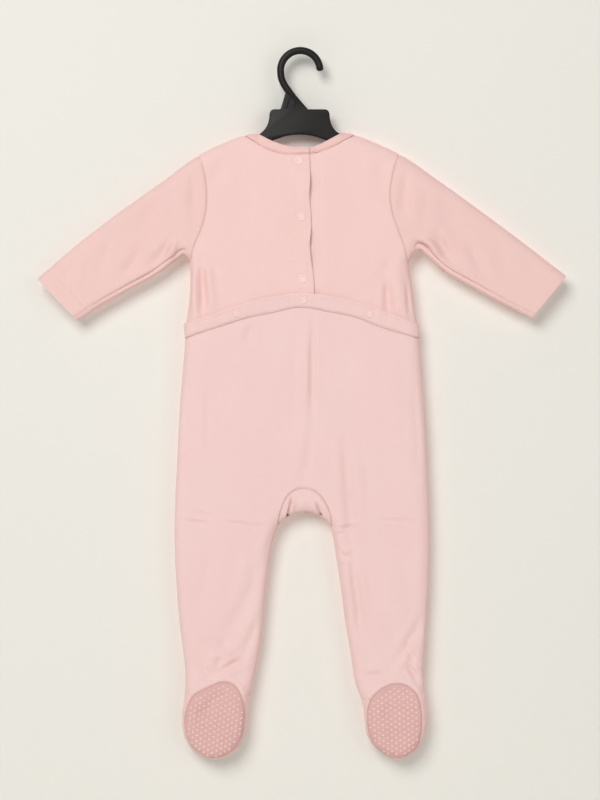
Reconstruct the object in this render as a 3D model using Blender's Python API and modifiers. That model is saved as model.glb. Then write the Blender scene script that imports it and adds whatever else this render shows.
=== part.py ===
# A footed baby sleepsuit hung by the shoulders on a small moulded hanger.
# Metres, +Z up.  The suit's back faces -Y and its front faces +Y.
# The origin is the top of the hook's inner curve, where a rail bears.
# Tables and named sizes are in millimetres and are scaled once, where a mesh is made.

import math

import bmesh
import bpy
import numpy as np

MM = 0.001

# Cloth
JERSEY = 1.2           # one layer of double-knit cotton
BAND_PLY = 2.0         # the seat band, folded double
BINDING_PLY = 2.0      # the neck binding, folded round the edge
SOLE_PLY = 1.5
SEAM = 0.3             # clear space between two pieces at a seam
DEEP_H = 9.0           # half the depth of the hanging body
SLEEVE_H = 7.0
FOOT_H = 14.5
ON_EDGE = 0.16         # nearer than this to a closed edge counts as on it
ROLL = 13.0            # how far in from an edge the cloth rolls over
FOOT_ROLL = 10.0

# Hanger
BAR_R = 3.65
HOOK_R = 17.0 + BAR_R  # to the middle of the bar
PLATE_T = 5.0
PLATE_MID = -0.8       # the plate's middle, a little left of the hook's
ARM_DROP = 3.0         # the arms' top edge below the shoulder's outer face
ARM_DEEP = 9.5
ARM_REACH = 97.0

# Snaps
SNAP_R = 4.35
SNAP_H = 1.3

# ------------------------------------------------------------------ tables

# The closed top edge of each half: place, left x, left z, right x, right z
TOP_EDGE = [
    ("neck", -45.0, -83.6, 44.0, -82.4),
    ("binding", -58.0, -85.4, 57.0, -84.9),
    ("shoulder", -82.0, -94.2, 80.0, -93.6),
    ("armhole", -107.0, -106.6, 104.5, -105.2),
    ("upper arm", -142.8, -132.6, 144.9, -132.6),
    ("elbow", -195.0, -169.8, 196.0, -169.6),
    ("forearm", -245.7, -209.6, 247.8, -208.6),
    ("cuff", -275.9, -236.3, 278.6, -232.9),
]

# The closed lower edge of each sleeve: place, left x, left z, right x, right z
LOW_EDGE = [
    ("cuff", -233.8, -279.8, 242.6, -277.2),
    ("forearm", -211.0, -265.2, 212.0, -262.0),
    ("elbow", -180.0, -247.6, 180.0, -244.6),
    ("upper arm", -148.0, -229.8, 150.0, -227.2),
    ("notch", -129.0, -215.4, 132.4, -211.4),
    ("notch", -121.8, -210.8, 125.2, -205.2),
    ("notch", -118.0, -213.6, 118.4, -210.0),
    ("underarm", -116.4, -219.0, 113.8, -219.4),
]

# The body's sides below the arms: z, left x, right x
SIDES = [
    (-230.0, -115.5, 114.6),
    (-242.0, -115.6, 116.8),
    (-267.0, -117.6, 119.7),
    (-284.0, -120.2, 122.9),
    (-309.0, -121.4, 125.4),
    (-342.0, -124.4, 127.8),
    (-384.0, -127.4, 131.0),
    (-426.0, -129.2, 132.9),
    (-468.0, -131.4, 134.7),
    (-510.0, -132.0, 135.5),
    (-552.0, -130.2, 134.7),
    (-594.0, -127.1, 132.6),
    (-625.0, -123.4, 131.0),
    (-650.0, -120.6, 129.4),
    (-671.0, -121.4, 131.6),
    (-690.0, -123.8, 133.3),
    (-706.0, -123.9, 132.2),
    (-721.0, -119.4, 127.6),
    (-732.5, -110.0, 119.0),
]

# The toes' lowest point: left x, left z, right x, right z
TOES = (-90.0, -740.2, 102.5, -740.4)

# The inner side of each leg: z, left leg's x, right leg's x
INNER = [
    (-733.5, -71.8, 86.0),
    (-723.0, -62.0, 74.2),
    (-712.0, -57.6, 69.2),
    (-698.0, -55.4, 67.0),
    (-684.0, -55.0, 66.0),
    (-674.0, -53.0, 62.8),
    (-658.0, -49.4, 57.4),
    (-640.0, -45.7, 54.4),
    (-621.0, -42.0, 51.4),
    (-594.0, -38.9, 46.9),
    (-552.0, -35.0, 41.3),
    (-524.0, -31.2, 37.0),
    (-506.0, -27.6, 34.2),
]

# The bottom of the crotch: x, z
CROTCH = [
    (-21.4, -492.6),
    (-12.0, -484.6),
    (2.0, -480.8),
    (20.0, -483.8),
    (30.0, -492.4),
]

# The gusset's upper seam: x, z
GUSSET = [
    (-22.6, -493.6),
    (-19.9, -477.8),
    (-13.5, -463.8),
    (-2.6, -456.2),
    (6.3, -455.6),
    (17.2, -459.7),
    (26.2, -470.6),
    (31.0, -482.6),
    (32.0, -496.0),
]

# The armholes: left x, left z, right x, right z
ARMHOLE = [
    (-107.0, -106.6, 104.5, -105.2),
    (-102.4, -118.0, 99.2, -118.5),
    (-98.8, -133.0, 95.6, -132.6),
    (-97.6, -149.0, 94.0, -149.0),
    (-98.8, -166.0, 96.4, -167.0),
    (-103.4, -184.0, 102.2, -184.0),
    (-110.6, -200.4, 108.0, -199.6),
    (-116.4, -219.0, 113.8, -219.4),
]

# The neck binding: side (-1 back, 1 front), free edge x, z, seam x, z
BINDING = [
    (-1, 9.0, -98.8, 9.6, -105.4),
    (-1, -10.5, -97.9, -10.5, -106.0),
    (-1, -21.0, -95.2, -24.0, -104.0),
    (-1, -31.5, -91.2, -37.4, -98.8),
    (-1, -40.5, -86.4, -49.6, -91.4),
    (0, -45.0, -83.6, -58.0, -85.4),
    (1, -45.6, -93.0, -54.0, -96.0),
    (1, -38.0, -104.0, -45.0, -109.4),
    (1, -22.0, -112.6, -26.0, -120.4),
    (1, 0.0, -116.0, 0.0, -124.2),
    (1, 22.0, -112.6, 26.0, -120.4),
    (1, 38.0, -104.0, 45.0, -109.4),
    (1, 44.6, -92.6, 53.0, -96.0),
    (0, 44.0, -82.4, 57.0, -84.9),
    (-1, 39.5, -85.4, 48.6, -89.6),
    (-1, 30.5, -90.4, 36.4, -96.6),
    (-1, 20.0, -95.6, 23.0, -101.9),
    (-1, 10.5, -98.9, 10.5, -105.0),
    (-1, -9.0, -99.6, -9.0, -106.2),
]

# The edge of the upper left back, which laps over the right: z, x
PLACKET = [
    (-105.4, 9.6),
    (-132.0, 10.2),
    (-150.0, 9.4),
    (-167.0, 10.9),
    (-183.0, 11.3),
    (-201.0, 9.9),
    (-216.0, 11.2),
    (-234.0, 13.8),
    (-254.0, 14.6),
    (-275.0, 14.8),
]

# The seat band: x, free upper edge z, lower seam z
BAND = [
    (-121.0, -282.4, -297.8),
    (-112.6, -280.0, -295.2),
    (-97.5, -275.2, -290.4),
    (-80.0, -269.2, -284.8),
    (-58.0, -261.6, -277.6),
    (-30.0, -255.0, -271.8),
    (2.0, -251.2, -265.9),
    (30.0, -254.2, -270.6),
    (62.0, -261.4, -277.6),
    (82.0, -267.6, -285.8),
    (101.0, -275.6, -291.8),
    (124.6, -283.8, -298.0),
]

# Each sole's outline from the outer heel over the top and round the toe:
# place, left x, left z, right x, right z
SOLE = [
    ("outer heel", -112.0, -671.9, 121.4, -669.6),
    ("heel", -102.6, -666.2, 112.6, -662.4),
    ("heel", -92.0, -661.2, 101.4, -659.2),
    ("heel", -81.0, -657.4, 90.8, -661.4),
    ("heel", -70.6, -659.8, 82.0, -667.0),
    ("inner heel", -61.6, -671.4, 74.0, -675.0),
    ("instep", -57.6, -686.0, 69.6, -687.0),
    ("instep", -57.8, -701.0, 69.4, -701.0),
    ("ball", -60.6, -714.4, 72.0, -715.6),
    ("toe", -67.6, -726.8, 79.4, -727.4),
    ("toe", -78.6, -735.0, 90.4, -735.2),
    ("toe", -91.0, -737.4, 103.4, -737.4),
    ("toe", -104.6, -733.4, 114.8, -733.2),
    ("toe", -114.6, -724.4, 123.0, -725.0),
    ("ball", -120.2, -710.0, 126.6, -711.4),
    ("edge", -121.2, -696.0, 127.2, -697.0),
    ("edge", -118.4, -682.6, 125.8, -681.6),
]
HEEL_ROWS = 5          # rows of SOLE that the leg's back is sewn to

# Snap caps: name, x, z, what carries them
SNAPS = [
    ("snap_neck", -1.4, -112.4, "placket"),
    ("snap_middle", 0.6, -171.2, "placket"),
    ("snap_waist", 2.4, -236.4, "placket"),
    ("snap_seat_centre", 2.9, -258.0, "band"),
    ("snap_seat_left", -66.9, -272.3, "band"),
    ("snap_seat_right", 72.4, -272.6, "band"),
]

# Soft folds: side, x0, z0, x1, z1, half width, height (below 0 is a trough)
FOLDS = [
    (-1, -104.0, -218.0, -101.0, -280.0, 5.0, -3.2),
    (-1, -112.0, -222.0, -111.0, -280.0, 4.5, 1.2),
    (-1, 91.0, -240.0, 94.0, -274.0, 5.0, -2.4),
    (-1, 105.0, -238.0, 109.0, -280.0, 6.0, 1.4),
    (-1, 13.5, -268.0, 11.0, -400.0, 4.0, -1.3),
    (-1, 3.0, -272.0, 3.0, -420.0, 6.0, 0.9),
    (-1, 11.0, -400.0, 3.0, -456.0, 7.0, -1.2),
    (-1, -53.0, -284.0, -56.0, -300.0, 4.0, -1.0),
    (-1, -98.0, -345.0, -97.0, -418.0, 4.0, -1.1),
    (-1, 69.0, -430.0, 71.0, -462.0, 4.0, -1.0),
    (-1, 46.0, -392.0, 53.0, -532.0, 6.0, -1.9),
    (-1, 54.0, -538.0, 64.0, -618.0, 6.0, -1.8),
    (-1, -44.0, -528.0, -80.0, -616.0, 8.0, -1.6),
    (-1, 124.0, -590.0, 106.0, -642.0, 7.0, -1.6),
    (-1, -122.0, -491.0, -94.0, -495.0, 4.0, -1.2),
    (-1, -84.0, -491.0, -30.0, -498.0, 4.0, -1.0),
    (-1, 38.0, -497.0, 62.0, -494.0, 4.0, -1.2),
    (-1, -80.0, -648.0, -57.0, -632.0, 5.0, -2.4),
    (-1, 116.0, -640.0, 124.0, -658.0, 5.0, -2.2),
    (-1, 70.0, -650.0, 84.0, -652.0, 5.0, -1.6),
    (-1, -7.6, -463.0, -12.6, -482.0, 2.6, -2.2),
    (-1, 14.6, -466.0, 21.0, -481.0, 2.6, -2.2),
    (-1, -138.0, -196.0, -160.0, -224.0, 7.0, -2.0),
    (-1, -168.0, -200.0, -186.0, -232.0, 7.0, -1.2),
    (-1, 142.0, -190.0, 166.0, -222.0, 7.0, -2.0),
    (-1, 176.0, -196.0, 194.0, -228.0, 7.0, -1.2),
    (-1, 128.0, -204.0, 150.0, -220.0, 4.0, -1.4),
    (-1, -114.0, -128.0, -112.0, -160.0, 6.0, -1.2),
    (1, -100.0, -216.0, -96.0, -300.0, 7.0, -2.2),
    (1, 92.0, -214.0, 95.0, -292.0, 7.0, -2.4),
    (1, 6.0, -300.0, 8.0, -452.0, 7.0, -1.4),
    (1, -58.0, -430.0, -66.0, -560.0, 8.0, -1.7),
    (1, 64.0, -410.0, 74.0, -540.0, 8.0, -1.8),
    (1, -140.0, -194.0, -164.0, -228.0, 7.0, -2.0),
    (1, 144.0, -192.0, 170.0, -224.0, 7.0, -2.0),
    (1, -112.0, -640.0, -66.0, -652.0, 6.0, -2.6),
    (1, 70.0, -654.0, 118.0, -642.0, 6.0, -2.4),
]


# ------------------------------------------------------------------ curves

class Curve:
    """A smooth curve through a table's points, run by its share of length."""

    def __init__(self, points, step=1.2, closed=False):
        pts = np.asarray(points, float)
        if closed:
            pts = np.vstack([pts[-2:], pts, pts[:2]])
        gaps = np.linalg.norm(np.diff(pts, axis=0), axis=1)
        slopes = np.diff(pts, axis=0) / gaps[:, None]
        turn = np.empty_like(pts)
        turn[0] = slopes[0]
        turn[-1] = slopes[-1]
        before, after = gaps[:-1, None], gaps[1:, None]
        turn[1:-1] = (slopes[:-1] * after + slopes[1:] * before) / (before + after)
        path = []
        self.marks = []
        first, last = (2, len(pts) - 3) if closed else (0, len(pts) - 1)
        for i in range(first, last + (1 if closed else 0)):
            count = max(2, int(round(gaps[i] / step)))
            t = np.arange(count)[:, None] / count
            self.marks.append(sum(len(part) for part in path))
            path.append(
                pts[i] * (2 * t**3 - 3 * t**2 + 1)
                + turn[i] * gaps[i] * (t**3 - 2 * t**2 + t)
                + pts[i + 1] * (3 * t**2 - 2 * t**3)
                + turn[i + 1] * gaps[i] * (t**3 - t**2)
            )
        self.marks.append(sum(len(part) for part in path))
        end = pts[first] if closed else pts[-1]
        self.path = np.vstack(path + [end[None]])
        self.measure()

    def measure(self):
        lengths = np.linalg.norm(np.diff(self.path, axis=0), axis=1)
        self.run = np.concatenate([[0.0], np.cumsum(lengths)])
        self.length = self.run[-1]
        self.run = self.run / self.length

    def at(self, shares):
        return np.stack([np.interp(shares, self.run, self.path[:, k]) for k in (0, 1)], axis=-1)

    def mark(self, row):
        """The share of length at a row of the table."""
        return float(self.run[self.marks[row]])

    def nearest(self, x, z):
        """The share of length nearest to a point."""
        return float(self.run[np.argmin(np.hypot(self.path[:, 0] - x, self.path[:, 1] - z))])

    def part(self, a, b):
        """The stretch from share a to share b, turned round when b is less."""
        low, high = min(a, b), max(a, b)
        inside = self.run[(self.run > low + 1e-9) & (self.run < high - 1e-9)]
        shares = np.concatenate([[low], inside, [high]])
        return Path(self.at(shares if b > a else shares[::-1]))


class Path(Curve):
    """A curve that is already a fine run of points."""

    def __init__(self, points):
        keep = [points[0]]
        for point in points[1:]:
            if np.hypot(*(point - keep[-1])) > 1e-6:
                keep.append(point)
        self.path = np.array(keep)
        self.measure()


def chain(*paths):
    return Path(np.vstack([p.path for p in paths]))


def pick(table, first):
    """The (x, z) columns that start at one column of a table."""
    return [(row[first], row[first + 1]) for row in table]


topLeft = Curve(pick(TOP_EDGE, 1))
topRight = Curve(pick(TOP_EDGE, 3))
underLeft = Curve(pick(LOW_EDGE, 1))
underRight = Curve(pick(LOW_EDGE, 3))
armLeft = Curve(pick(ARMHOLE, 0))
armRight = Curve(pick(ARMHOLE, 2))
insideRun = (
    [(TOES[0], TOES[1])]
    + [(row[1], row[0]) for row in INNER]
    + CROTCH
    + [(row[2], row[0]) for row in reversed(INNER)]
    + [(TOES[2], TOES[3])]
)
outerLeft = [pick(LOW_EDGE, 1)[-1]] + [(row[1], row[0]) for row in SIDES]
outerRight = [(row[2], row[0]) for row in reversed(SIDES)] + [pick(LOW_EDGE, 3)[-1]]
rim = Curve(outerLeft + insideRun + outerRight)
gussetSeam = Curve(GUSSET)
placket = Curve([(row[1], row[0]) for row in PLACKET])


def across(column):
    """One edge of the seat band, its ends drawn onto the body's sides."""
    points = [(row[0], row[column]) for row in BAND]
    for end in (0, -1):
        points[end] = tuple(rim.at(rim.nearest(*points[end])))
    return Curve(points)


bandTop = across(1)
bandSeam = across(2)
soleLeft = Curve(pick(SOLE, 1), closed=True)
soleRight = Curve(pick(SOLE, 3), closed=True)

closedEdges = [topLeft, topRight, underLeft, underRight, rim]
segStart = np.vstack([c.path[:-1] for c in closedEdges])
segEnd = np.vstack([c.path[1:] for c in closedEdges])


def edge_distance(x, z):
    """Distance to the nearest closed edge, and the way inward from it."""
    p = np.stack([x, z], axis=-1)
    along = segEnd - segStart
    size = np.einsum("ij,ij->i", along, along)
    best = np.empty(len(p))
    inward = np.empty_like(p)
    for lo in range(0, len(p), 400):
        chunk = p[lo : lo + 400]
        rel = chunk[:, None, :] - segStart[None]
        t = np.clip(np.einsum("ijk,jk->ij", rel, along) / size, 0, 1)
        off = rel - t[..., None] * along[None]
        dist = np.linalg.norm(off, axis=2)
        k = dist.argmin(axis=1)
        rows = np.arange(len(chunk))
        d = dist[rows, k]
        way = off[rows, k] / np.maximum(d, 1e-9)[:, None]
        side = along[k] / np.sqrt(size[k])[:, None]
        near = d < ON_EDGE
        if near.any():
            flat = np.stack([-side[near, 1], side[near, 0]], axis=-1)
            ahead = chunk[near] + flat * 2.0
            flip = np.where(inside(ahead[:, 0], ahead[:, 1]), 1.0, -1.0)
            way[near] = flat * flip[:, None]
            d[near] = 0.0
        best[lo : lo + 400] = d
        inward[lo : lo + 400] = way
    return best, inward


# The whole outline, used to tell the cloth's side of an edge
OUTLINE = np.vstack([
    topLeft.path[::-1],
    topRight.path,
    underRight.path,
    rim.path[::-1],
    underLeft.path[::-1],
])


def inside(x, z):
    a = OUTLINE
    b = np.roll(OUTLINE, -1, axis=0)
    cross = (a[None, :, 1] > z[:, None]) != (b[None, :, 1] > z[:, None])
    with np.errstate(divide="ignore", invalid="ignore"):
        where = (b[:, 0] - a[:, 0]) * (z[:, None] - a[:, 1]) / (b[:, 1] - a[:, 1]) + a[:, 0]
    return (cross & (x[:, None] < where)).sum(axis=1) % 2 == 1


def smooth(value, low, high):
    t = np.clip((value - low) / (high - low), 0, 1)
    return t * t * (3 - 2 * t)


def depths(x, z):
    """Half depth and roll of the hanging cloth at a place."""
    arm = smooth(np.abs(x), 128.0, 165.0)
    foot = smooth(-z, 640.0, 690.0)
    height = DEEP_H + (SLEEVE_H - DEEP_H) * arm + (FOOT_H - DEEP_H) * foot
    roll = ROLL + (FOOT_ROLL - ROLL) * np.maximum(arm, foot)
    return height, roll


def fold_lift(x, z, side):
    """Sum of the soft folds at a place on the back (-1) or the front (1)."""
    total = np.zeros_like(x)
    for face, x0, z0, x1, z1, half, height in FOLDS:
        length = math.hypot(x1 - x0, z1 - z0)
        ux, uz = (x1 - x0) / length, (z1 - z0) / length
        along = (x - x0) * ux + (z - z0) * uz
        across = (x - x0) * -uz + (z - z0) * ux
        ends = smooth(along, -half, length * 0.3) * (1 - smooth(along, length * 0.6, length + half))
        total += np.where(side == face, height * ends * np.exp(-((across / half) ** 2)), 0)
    return total


def place(x, z, side, lift, wraps, shift=0.0):
    """Points of a layer that stands `lift` above the cloth's outer face."""
    d, inward = edge_distance(x, z)
    height, roll = depths(x, z)
    c = 1 - np.minimum(d / roll, 1)
    rise = height * np.sqrt(1 - c * c)
    flatPart = height * c
    upPart = roll * np.sqrt(1 - c * c)
    size = np.hypot(flatPart, upPart)
    nx = -inward[:, 0] * flatPart / size
    nz = -inward[:, 1] * flatPart / size
    ny = side * upPart / size
    if not wraps:
        rise = rise + SEAM / 2
    full = lift + fold_lift(x, z, side) * smooth(d, 0.0, 6.0)
    return np.stack([x + nx * full, side * rise + ny * full + shift, z + nz * full], axis=-1)


# ------------------------------------------------------------------ cloth pieces

def spread(width, mids, near=True, far=True, roll=ROLL):
    """Shares across a panel, closer together where its edges roll over."""
    bands = [0.0, 0.134 * roll, 0.5 * roll, roll]
    start = bands if near else [0.0]
    stop = [width - b for b in reversed(bands)] if far else [width]
    middle = np.linspace(start[-1], stop[0], mids + 1)[1:-1]
    return np.array(start + list(middle) + stop) / width


def through(shares, wanted):
    """Moves the nearest inner share onto a place that a row must pass."""
    shares = shares.copy()
    k = 1 + int(np.argmin(np.abs(shares[1:-1] - wanted)))
    shares[k] = wanted
    return shares


def coons(left, right, top, bottom, us, vs):
    """A grid of rows from top to bottom between four boundary runs."""
    u = us[None, :, None]
    v = vs[:, None, None]
    corners = (
        (1 - u) * (1 - v) * top[0]
        + u * (1 - v) * top[-1]
        + (1 - u) * v * bottom[0]
        + u * v * bottom[-1]
    )
    return (
        (1 - u) * left[:, None] + u * right[:, None] + (1 - v) * top[None] + v * bottom[None] - corners
    )


def inset(grid, edge, rows=None, amount=SEAM / 2):
    """Draws one open edge back by half a seam, for the rows given."""
    views = {
        "left": (grid[:, 0], grid[:, 1]),
        "right": (grid[:, -1], grid[:, -2]),
        "top": (grid[0], grid[1]),
        "bottom": (grid[-1], grid[-2]),
    }
    outer, inner = views[edge]
    chosen = np.arange(len(outer)) if rows is None else np.asarray(rows)
    step = inner[chosen] - outer[chosen]
    size = np.maximum(np.linalg.norm(step, axis=1, keepdims=True), 1e-6)
    outer[chosen] += step / size * amount


class Cloth:
    """A piece of cloth gathered from grids, and given its thickness."""

    def __init__(self, name, material, ply=JERSEY, lift=None, wraps=False, shift=0.0):
        self.name = name
        self.material = material
        self.ply = ply
        self.lift = lift
        self.wraps = wraps
        self.shift = shift
        self.spots = []
        self.index = {}
        self.faces = []

    def spot(self, x, z, side, extra=0.0):
        key = (round(x, 3), round(z, 3), side, round(extra, 3))
        if key not in self.index:
            self.index[key] = len(self.spots)
            self.spots.append((x, z, side, extra))
        return self.index[key]

    def grid(self, points, sides, extra=0.0):
        rows, cols = points.shape[:2]
        faced = np.broadcast_to(sides, (rows, cols))
        extras = np.broadcast_to(extra, (rows, cols))
        ids = [
            [self.spot(*points[i, j], int(faced[i, j]), extras[i, j]) for j in range(cols)]
            for i in range(rows)
        ]
        for i in range(rows - 1):
            for j in range(cols - 1):
                self.face(ids[i][j], ids[i + 1][j], ids[i + 1][j + 1], ids[i][j + 1])
        return ids

    def face(self, *corners):
        ring = [a for a, b in zip(corners, corners[1:] + corners[:1]) if a != b]
        if len(ring) > 2:
            self.faces.append(ring)

    def build(self):
        spots = np.array(self.spots, float)
        x, z, side, extra = spots.T
        lift = extra + (0.0 if self.lift is None else self.lift(x, z, side))
        outer = place(x, z, side, lift, self.wraps, self.shift)
        inner = place(x, z, side, lift - self.ply, self.wraps, self.shift)
        count = len(spots)
        faces = [list(f) for f in self.faces]
        faces += [[i + count for i in reversed(f)] for f in self.faces]
        used = {}
        for f in self.faces:
            for a, b in zip(f, f[1:] + f[:1]):
                used.setdefault((min(a, b), max(a, b)), []).append((a, b))
        for uses in used.values():
            if len(uses) == 1:
                a, b = uses[0]
                faces.append([b, a, a + count, b + count])
        return solid(self.name, np.vstack([outer, inner]), faces, self.material)


def solid(name, points, faces, material):
    bm = bmesh.new()
    verts = [bm.verts.new((p[0] * MM, p[1] * MM, p[2] * MM)) for p in points]
    for f in faces:
        bm.faces.new([verts[i] for i in f])
    bmesh.ops.triangulate(bm, faces=[f for f in bm.faces if len(f.verts) > 3])
    bmesh.ops.recalc_face_normals(bm, faces=bm.faces)
    if bm.calc_volume(signed=True) < 0:
        bmesh.ops.reverse_faces(bm, faces=bm.faces)
    mesh = bpy.data.meshes.new(name)
    bm.to_mesh(mesh)
    bm.free()
    return finish(name, mesh, material)


def finish(name, mesh, material):
    mesh.materials.append(material)
    obj = bpy.data.objects.new(name, mesh)
    suit.objects.link(obj)
    return obj


# ------------------------------------------------------------------ scene and materials

for old in list(bpy.data.objects):
    bpy.data.objects.remove(old, do_unlink=True)

suit = bpy.data.collections.new("footed_baby_sleepsuit")
bpy.context.scene.collection.children.link(suit)


def paint(name, colour, roughness):
    material = bpy.data.materials.new(name)
    material.use_nodes = True
    shader = material.node_tree.nodes["Principled BSDF"]
    shader.inputs["Base Color"].default_value = (*colour, 1.0)
    shader.inputs["Roughness"].default_value = roughness
    shader.inputs["Metallic"].default_value = 0.0
    material.diffuse_color = (*colour, 1.0)
    return material


bodyCotton = paint("body_cotton", (0.89, 0.61, 0.57), 0.9)
sleeveCotton = paint("sleeve_cotton", (0.87, 0.59, 0.55), 0.9)
seatCotton = paint("seat_cotton", (0.90, 0.63, 0.59), 0.9)
bindingCotton = paint("binding_cotton", (0.87, 0.58, 0.54), 0.88)
soleCotton = paint("sole_cotton", (0.70, 0.42, 0.38), 0.85)
snapPlastic = paint("snap_plastic", (0.91, 0.65, 0.61), 0.4)
hangerPlastic = paint("hanger_plastic", (0.022, 0.020, 0.018), 0.5)


# ------------------------------------------------------------------ sizes shared by the pieces

BAND_STEP = 1.8        # how far the upper back dips to pass under the band
LAP_STEP = 2.0         # how far the right back dips to pass under the left
BINDING_RISE = 0.5     # how far the binding stands above the body's cloth
BINDING_LAP = 2.6      # how far its right end dips to pass under its left
LAP_EDGE = -11.0       # the right back's hidden edge
TUCK = 12.0            # the upper back carries on this far under the seat seam


def bandTopHeight(x):
    return np.interp(x, bandTop.path[:, 0], bandTop.path[:, 1])


def bandSeamHeight(x):
    return np.interp(x, bandSeam.path[:, 0], bandSeam.path[:, 1])


def seat_share(x, z):
    """0 at the band's free edge, 1 at its seam and below."""
    top, low = bandTopHeight(x), bandSeamHeight(x)
    return np.clip((top - z) / (top - low), 0, 1)


def left_back_lift(x, z, side):
    return -BAND_STEP * seat_share(x, z)


def right_back_lift(x, z, side):
    return -BAND_STEP * seat_share(x, z) - LAP_STEP * (1 - smooth(x, 15.5, 24.0))


def band_lift(x, z, side):
    return SEAM + BAND_PLY - BAND_STEP * seat_share(x, z)


def binding_rows(which, first, last):
    """The binding's free edge or seam between two rows of its table."""
    column = 1 if which == "free" else 3
    step = 1 if last > first else -1
    return Curve([BINDING[i][column : column + 2] for i in range(first, last + step, step)])


NECK_LEFT, NECK_RIGHT = [i for i, row in enumerate(BINDING) if row[0] == 0]
BACK, FRONT = -1, 1


def line(a, b):
    return Path(np.array([a, b], float))


# Shares that two pieces have in common along the seam between them
armSteps = {"left": spread(armLeft.length, 4), "right": spread(armRight.length, 4)}
NECK_SEAMS = {
    "left": (NECK_LEFT, 0),
    "front": (NECK_LEFT, NECK_RIGHT),
    "right": (NECK_RIGHT, len(BINDING) - 1),
}
neckSeams = {key: binding_rows("seam", *ends) for key, ends in NECK_SEAMS.items()}
neckSteps = {
    "left": spread(neckSeams["left"].length, 4, True, False, 8.0),
    "front": spread(neckSeams["front"].length, 8, True, True, 8.0),
    "right": spread(neckSeams["right"].length, 4, True, False, 8.0),
}
WAIST_MIDS = 16
waist = spread(bandSeam.length, WAIST_MIDS)
waistX = bandSeam.at(waist)[:, 0]
for edge in (LAP_EDGE, PLACKET[-1][1]):
    k = int(np.argmin(np.abs(waistX - edge)))
    waist[k] = bandSeam.nearest(edge, float(np.interp(edge, [r[0] for r in BAND], [r[2] for r in BAND])))
    waistX[k] = edge
lapStation = int(np.argmin(np.abs(waistX - LAP_EDGE)))
overStation = int(np.argmin(np.abs(waistX - PLACKET[-1][1])))


# ------------------------------------------------------------------ upper back

def back_half(name, hand, stations, lift):
    """One upper back, from the armhole to the placket, down to its hidden hem."""
    left = hand == "left"
    arm, shoulder = (armLeft, topLeft) if left else (armRight, topRight)
    seam = neckSeams[hand]
    hold = SEAM / 2 / shoulder.length
    shoulderRun = shoulder.part(shoulder.mark(3), shoulder.mark(1) + hold)
    neckPart = neckSteps[hand]
    count = len(stations) - len(neckPart) + 1
    shoulderPart = np.concatenate([[0.0, 0.035, 0.13], np.linspace(0.26, 1.0, count - 3)])
    top = np.vstack([shoulderRun.at(shoulderPart), seam.at(neckPart)[1:]])
    # rows: down the armhole, down the side, then band edge, band seam and hem
    ends = bandTop.path[0 if left else -1], bandSeam.path[0 if left else -1]
    sideTop, sideLow = rim.nearest(*ends[0]), rim.nearest(*ends[1])
    armRun = arm.at(armSteps[hand])
    sideRun = rim.part(0.0 if left else 1.0, sideTop).at(np.linspace(0, 1, 5))
    hemShare = sideLow + (TUCK / rim.length if left else -TUCK / rim.length)
    outer = np.vstack([armRun, sideRun[1:]])
    low = np.stack([stations, bandTopHeight(stations)], axis=-1)
    low[0 if left else -1] = rim.at(sideTop)
    low = low if left else low[::-1]
    outerShare = np.concatenate([[0], np.cumsum(np.linalg.norm(np.diff(outer, axis=0), axis=1))])
    vs = outerShare / outerShare[-1]
    if left:
        edgeEnd = placket.nearest(*low[-1])
        inner = chain(placket.part(0.0, edgeEnd), line(placket.at(edgeEnd), low[-1]))
    else:
        inner = line(top[-1], low[-1])
    width = np.concatenate([[0], np.cumsum(np.linalg.norm(np.diff(low, axis=0), axis=1))])
    us = width / width[-1]
    grid = coons(outer, inner.at(vs), top, low, us, vs)
    tail = []
    for share, drop in ((sideLow, 0.0), (hemShare, TUCK)):
        row = np.stack([low[:, 0], bandSeamHeight(low[:, 0]) - drop], axis=-1)
        row[0] = rim.at(share)
        tail.append(row)
    grid = np.concatenate([grid, np.stack(tail)])
    inset(grid, "left", range(len(armRun)))
    inset(grid, "top", range(count, len(stations)))
    piece = Cloth(name, bodyCotton, lift=lift)
    piece.grid(grid, BACK)
    return piece.build()


back_half("upper_back_left", "left", waistX[: overStation + 1], left_back_lift)
back_half("upper_back_right", "right", waistX[lapStation:], right_back_lift)


# ------------------------------------------------------------------ neck binding

def neck_binding():
    """One length round the neck; its left end laps over its right one."""
    piece = Cloth("neck_binding", bindingCotton, ply=BINDING_PLY, wraps=True)
    for key, side, dip in (("left", BACK, 0.0), ("front", FRONT, 0.0), ("right", BACK, BINDING_LAP)):
        free = binding_rows("free", *NECK_SEAMS[key])
        seam = neckSeams[key]
        us = neckSteps[key]
        grid = np.stack([free.at(us), (free.at(us) + seam.at(us)) / 2, seam.at(us)])
        sides = np.full(grid.shape[:2], side)
        starts = {"left": topLeft, "front": topLeft, "right": topRight}
        for column, edge in ((0, starts[key]), (-1, topRight if key == "front" else None)):
            if edge is not None:
                grid[:, column] = edge.at(np.array([0.0, 0.5, 1.0]) * edge.mark(1))
                sides[:, column] = 0
        inset(grid, "bottom")
        extra = BINDING_RISE - dip * (1 - smooth(grid[..., 0], 10.5, 18.0))
        piece.grid(grid, sides, extra)
    return piece.build()


neck_binding()


# ------------------------------------------------------------------ seat band

def seat_band():
    """A doubled band whose upper edge is free, open at the waist."""
    top = np.stack([waistX, bandTopHeight(waistX)], axis=-1)
    low = np.stack([waistX, bandSeamHeight(waistX)], axis=-1)
    for end in (0, -1):
        top[end] = rim.at(rim.nearest(*bandTop.path[end]))
        low[end] = rim.at(rim.nearest(*bandSeam.path[end]))
    grid = np.stack([top, low])
    inset(grid, "bottom")
    piece = Cloth("seat_band", seatCotton, ply=BAND_PLY, lift=band_lift)
    piece.grid(grid, BACK)
    return piece.build()


seat_band()


# ------------------------------------------------------------------ the long panels

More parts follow.
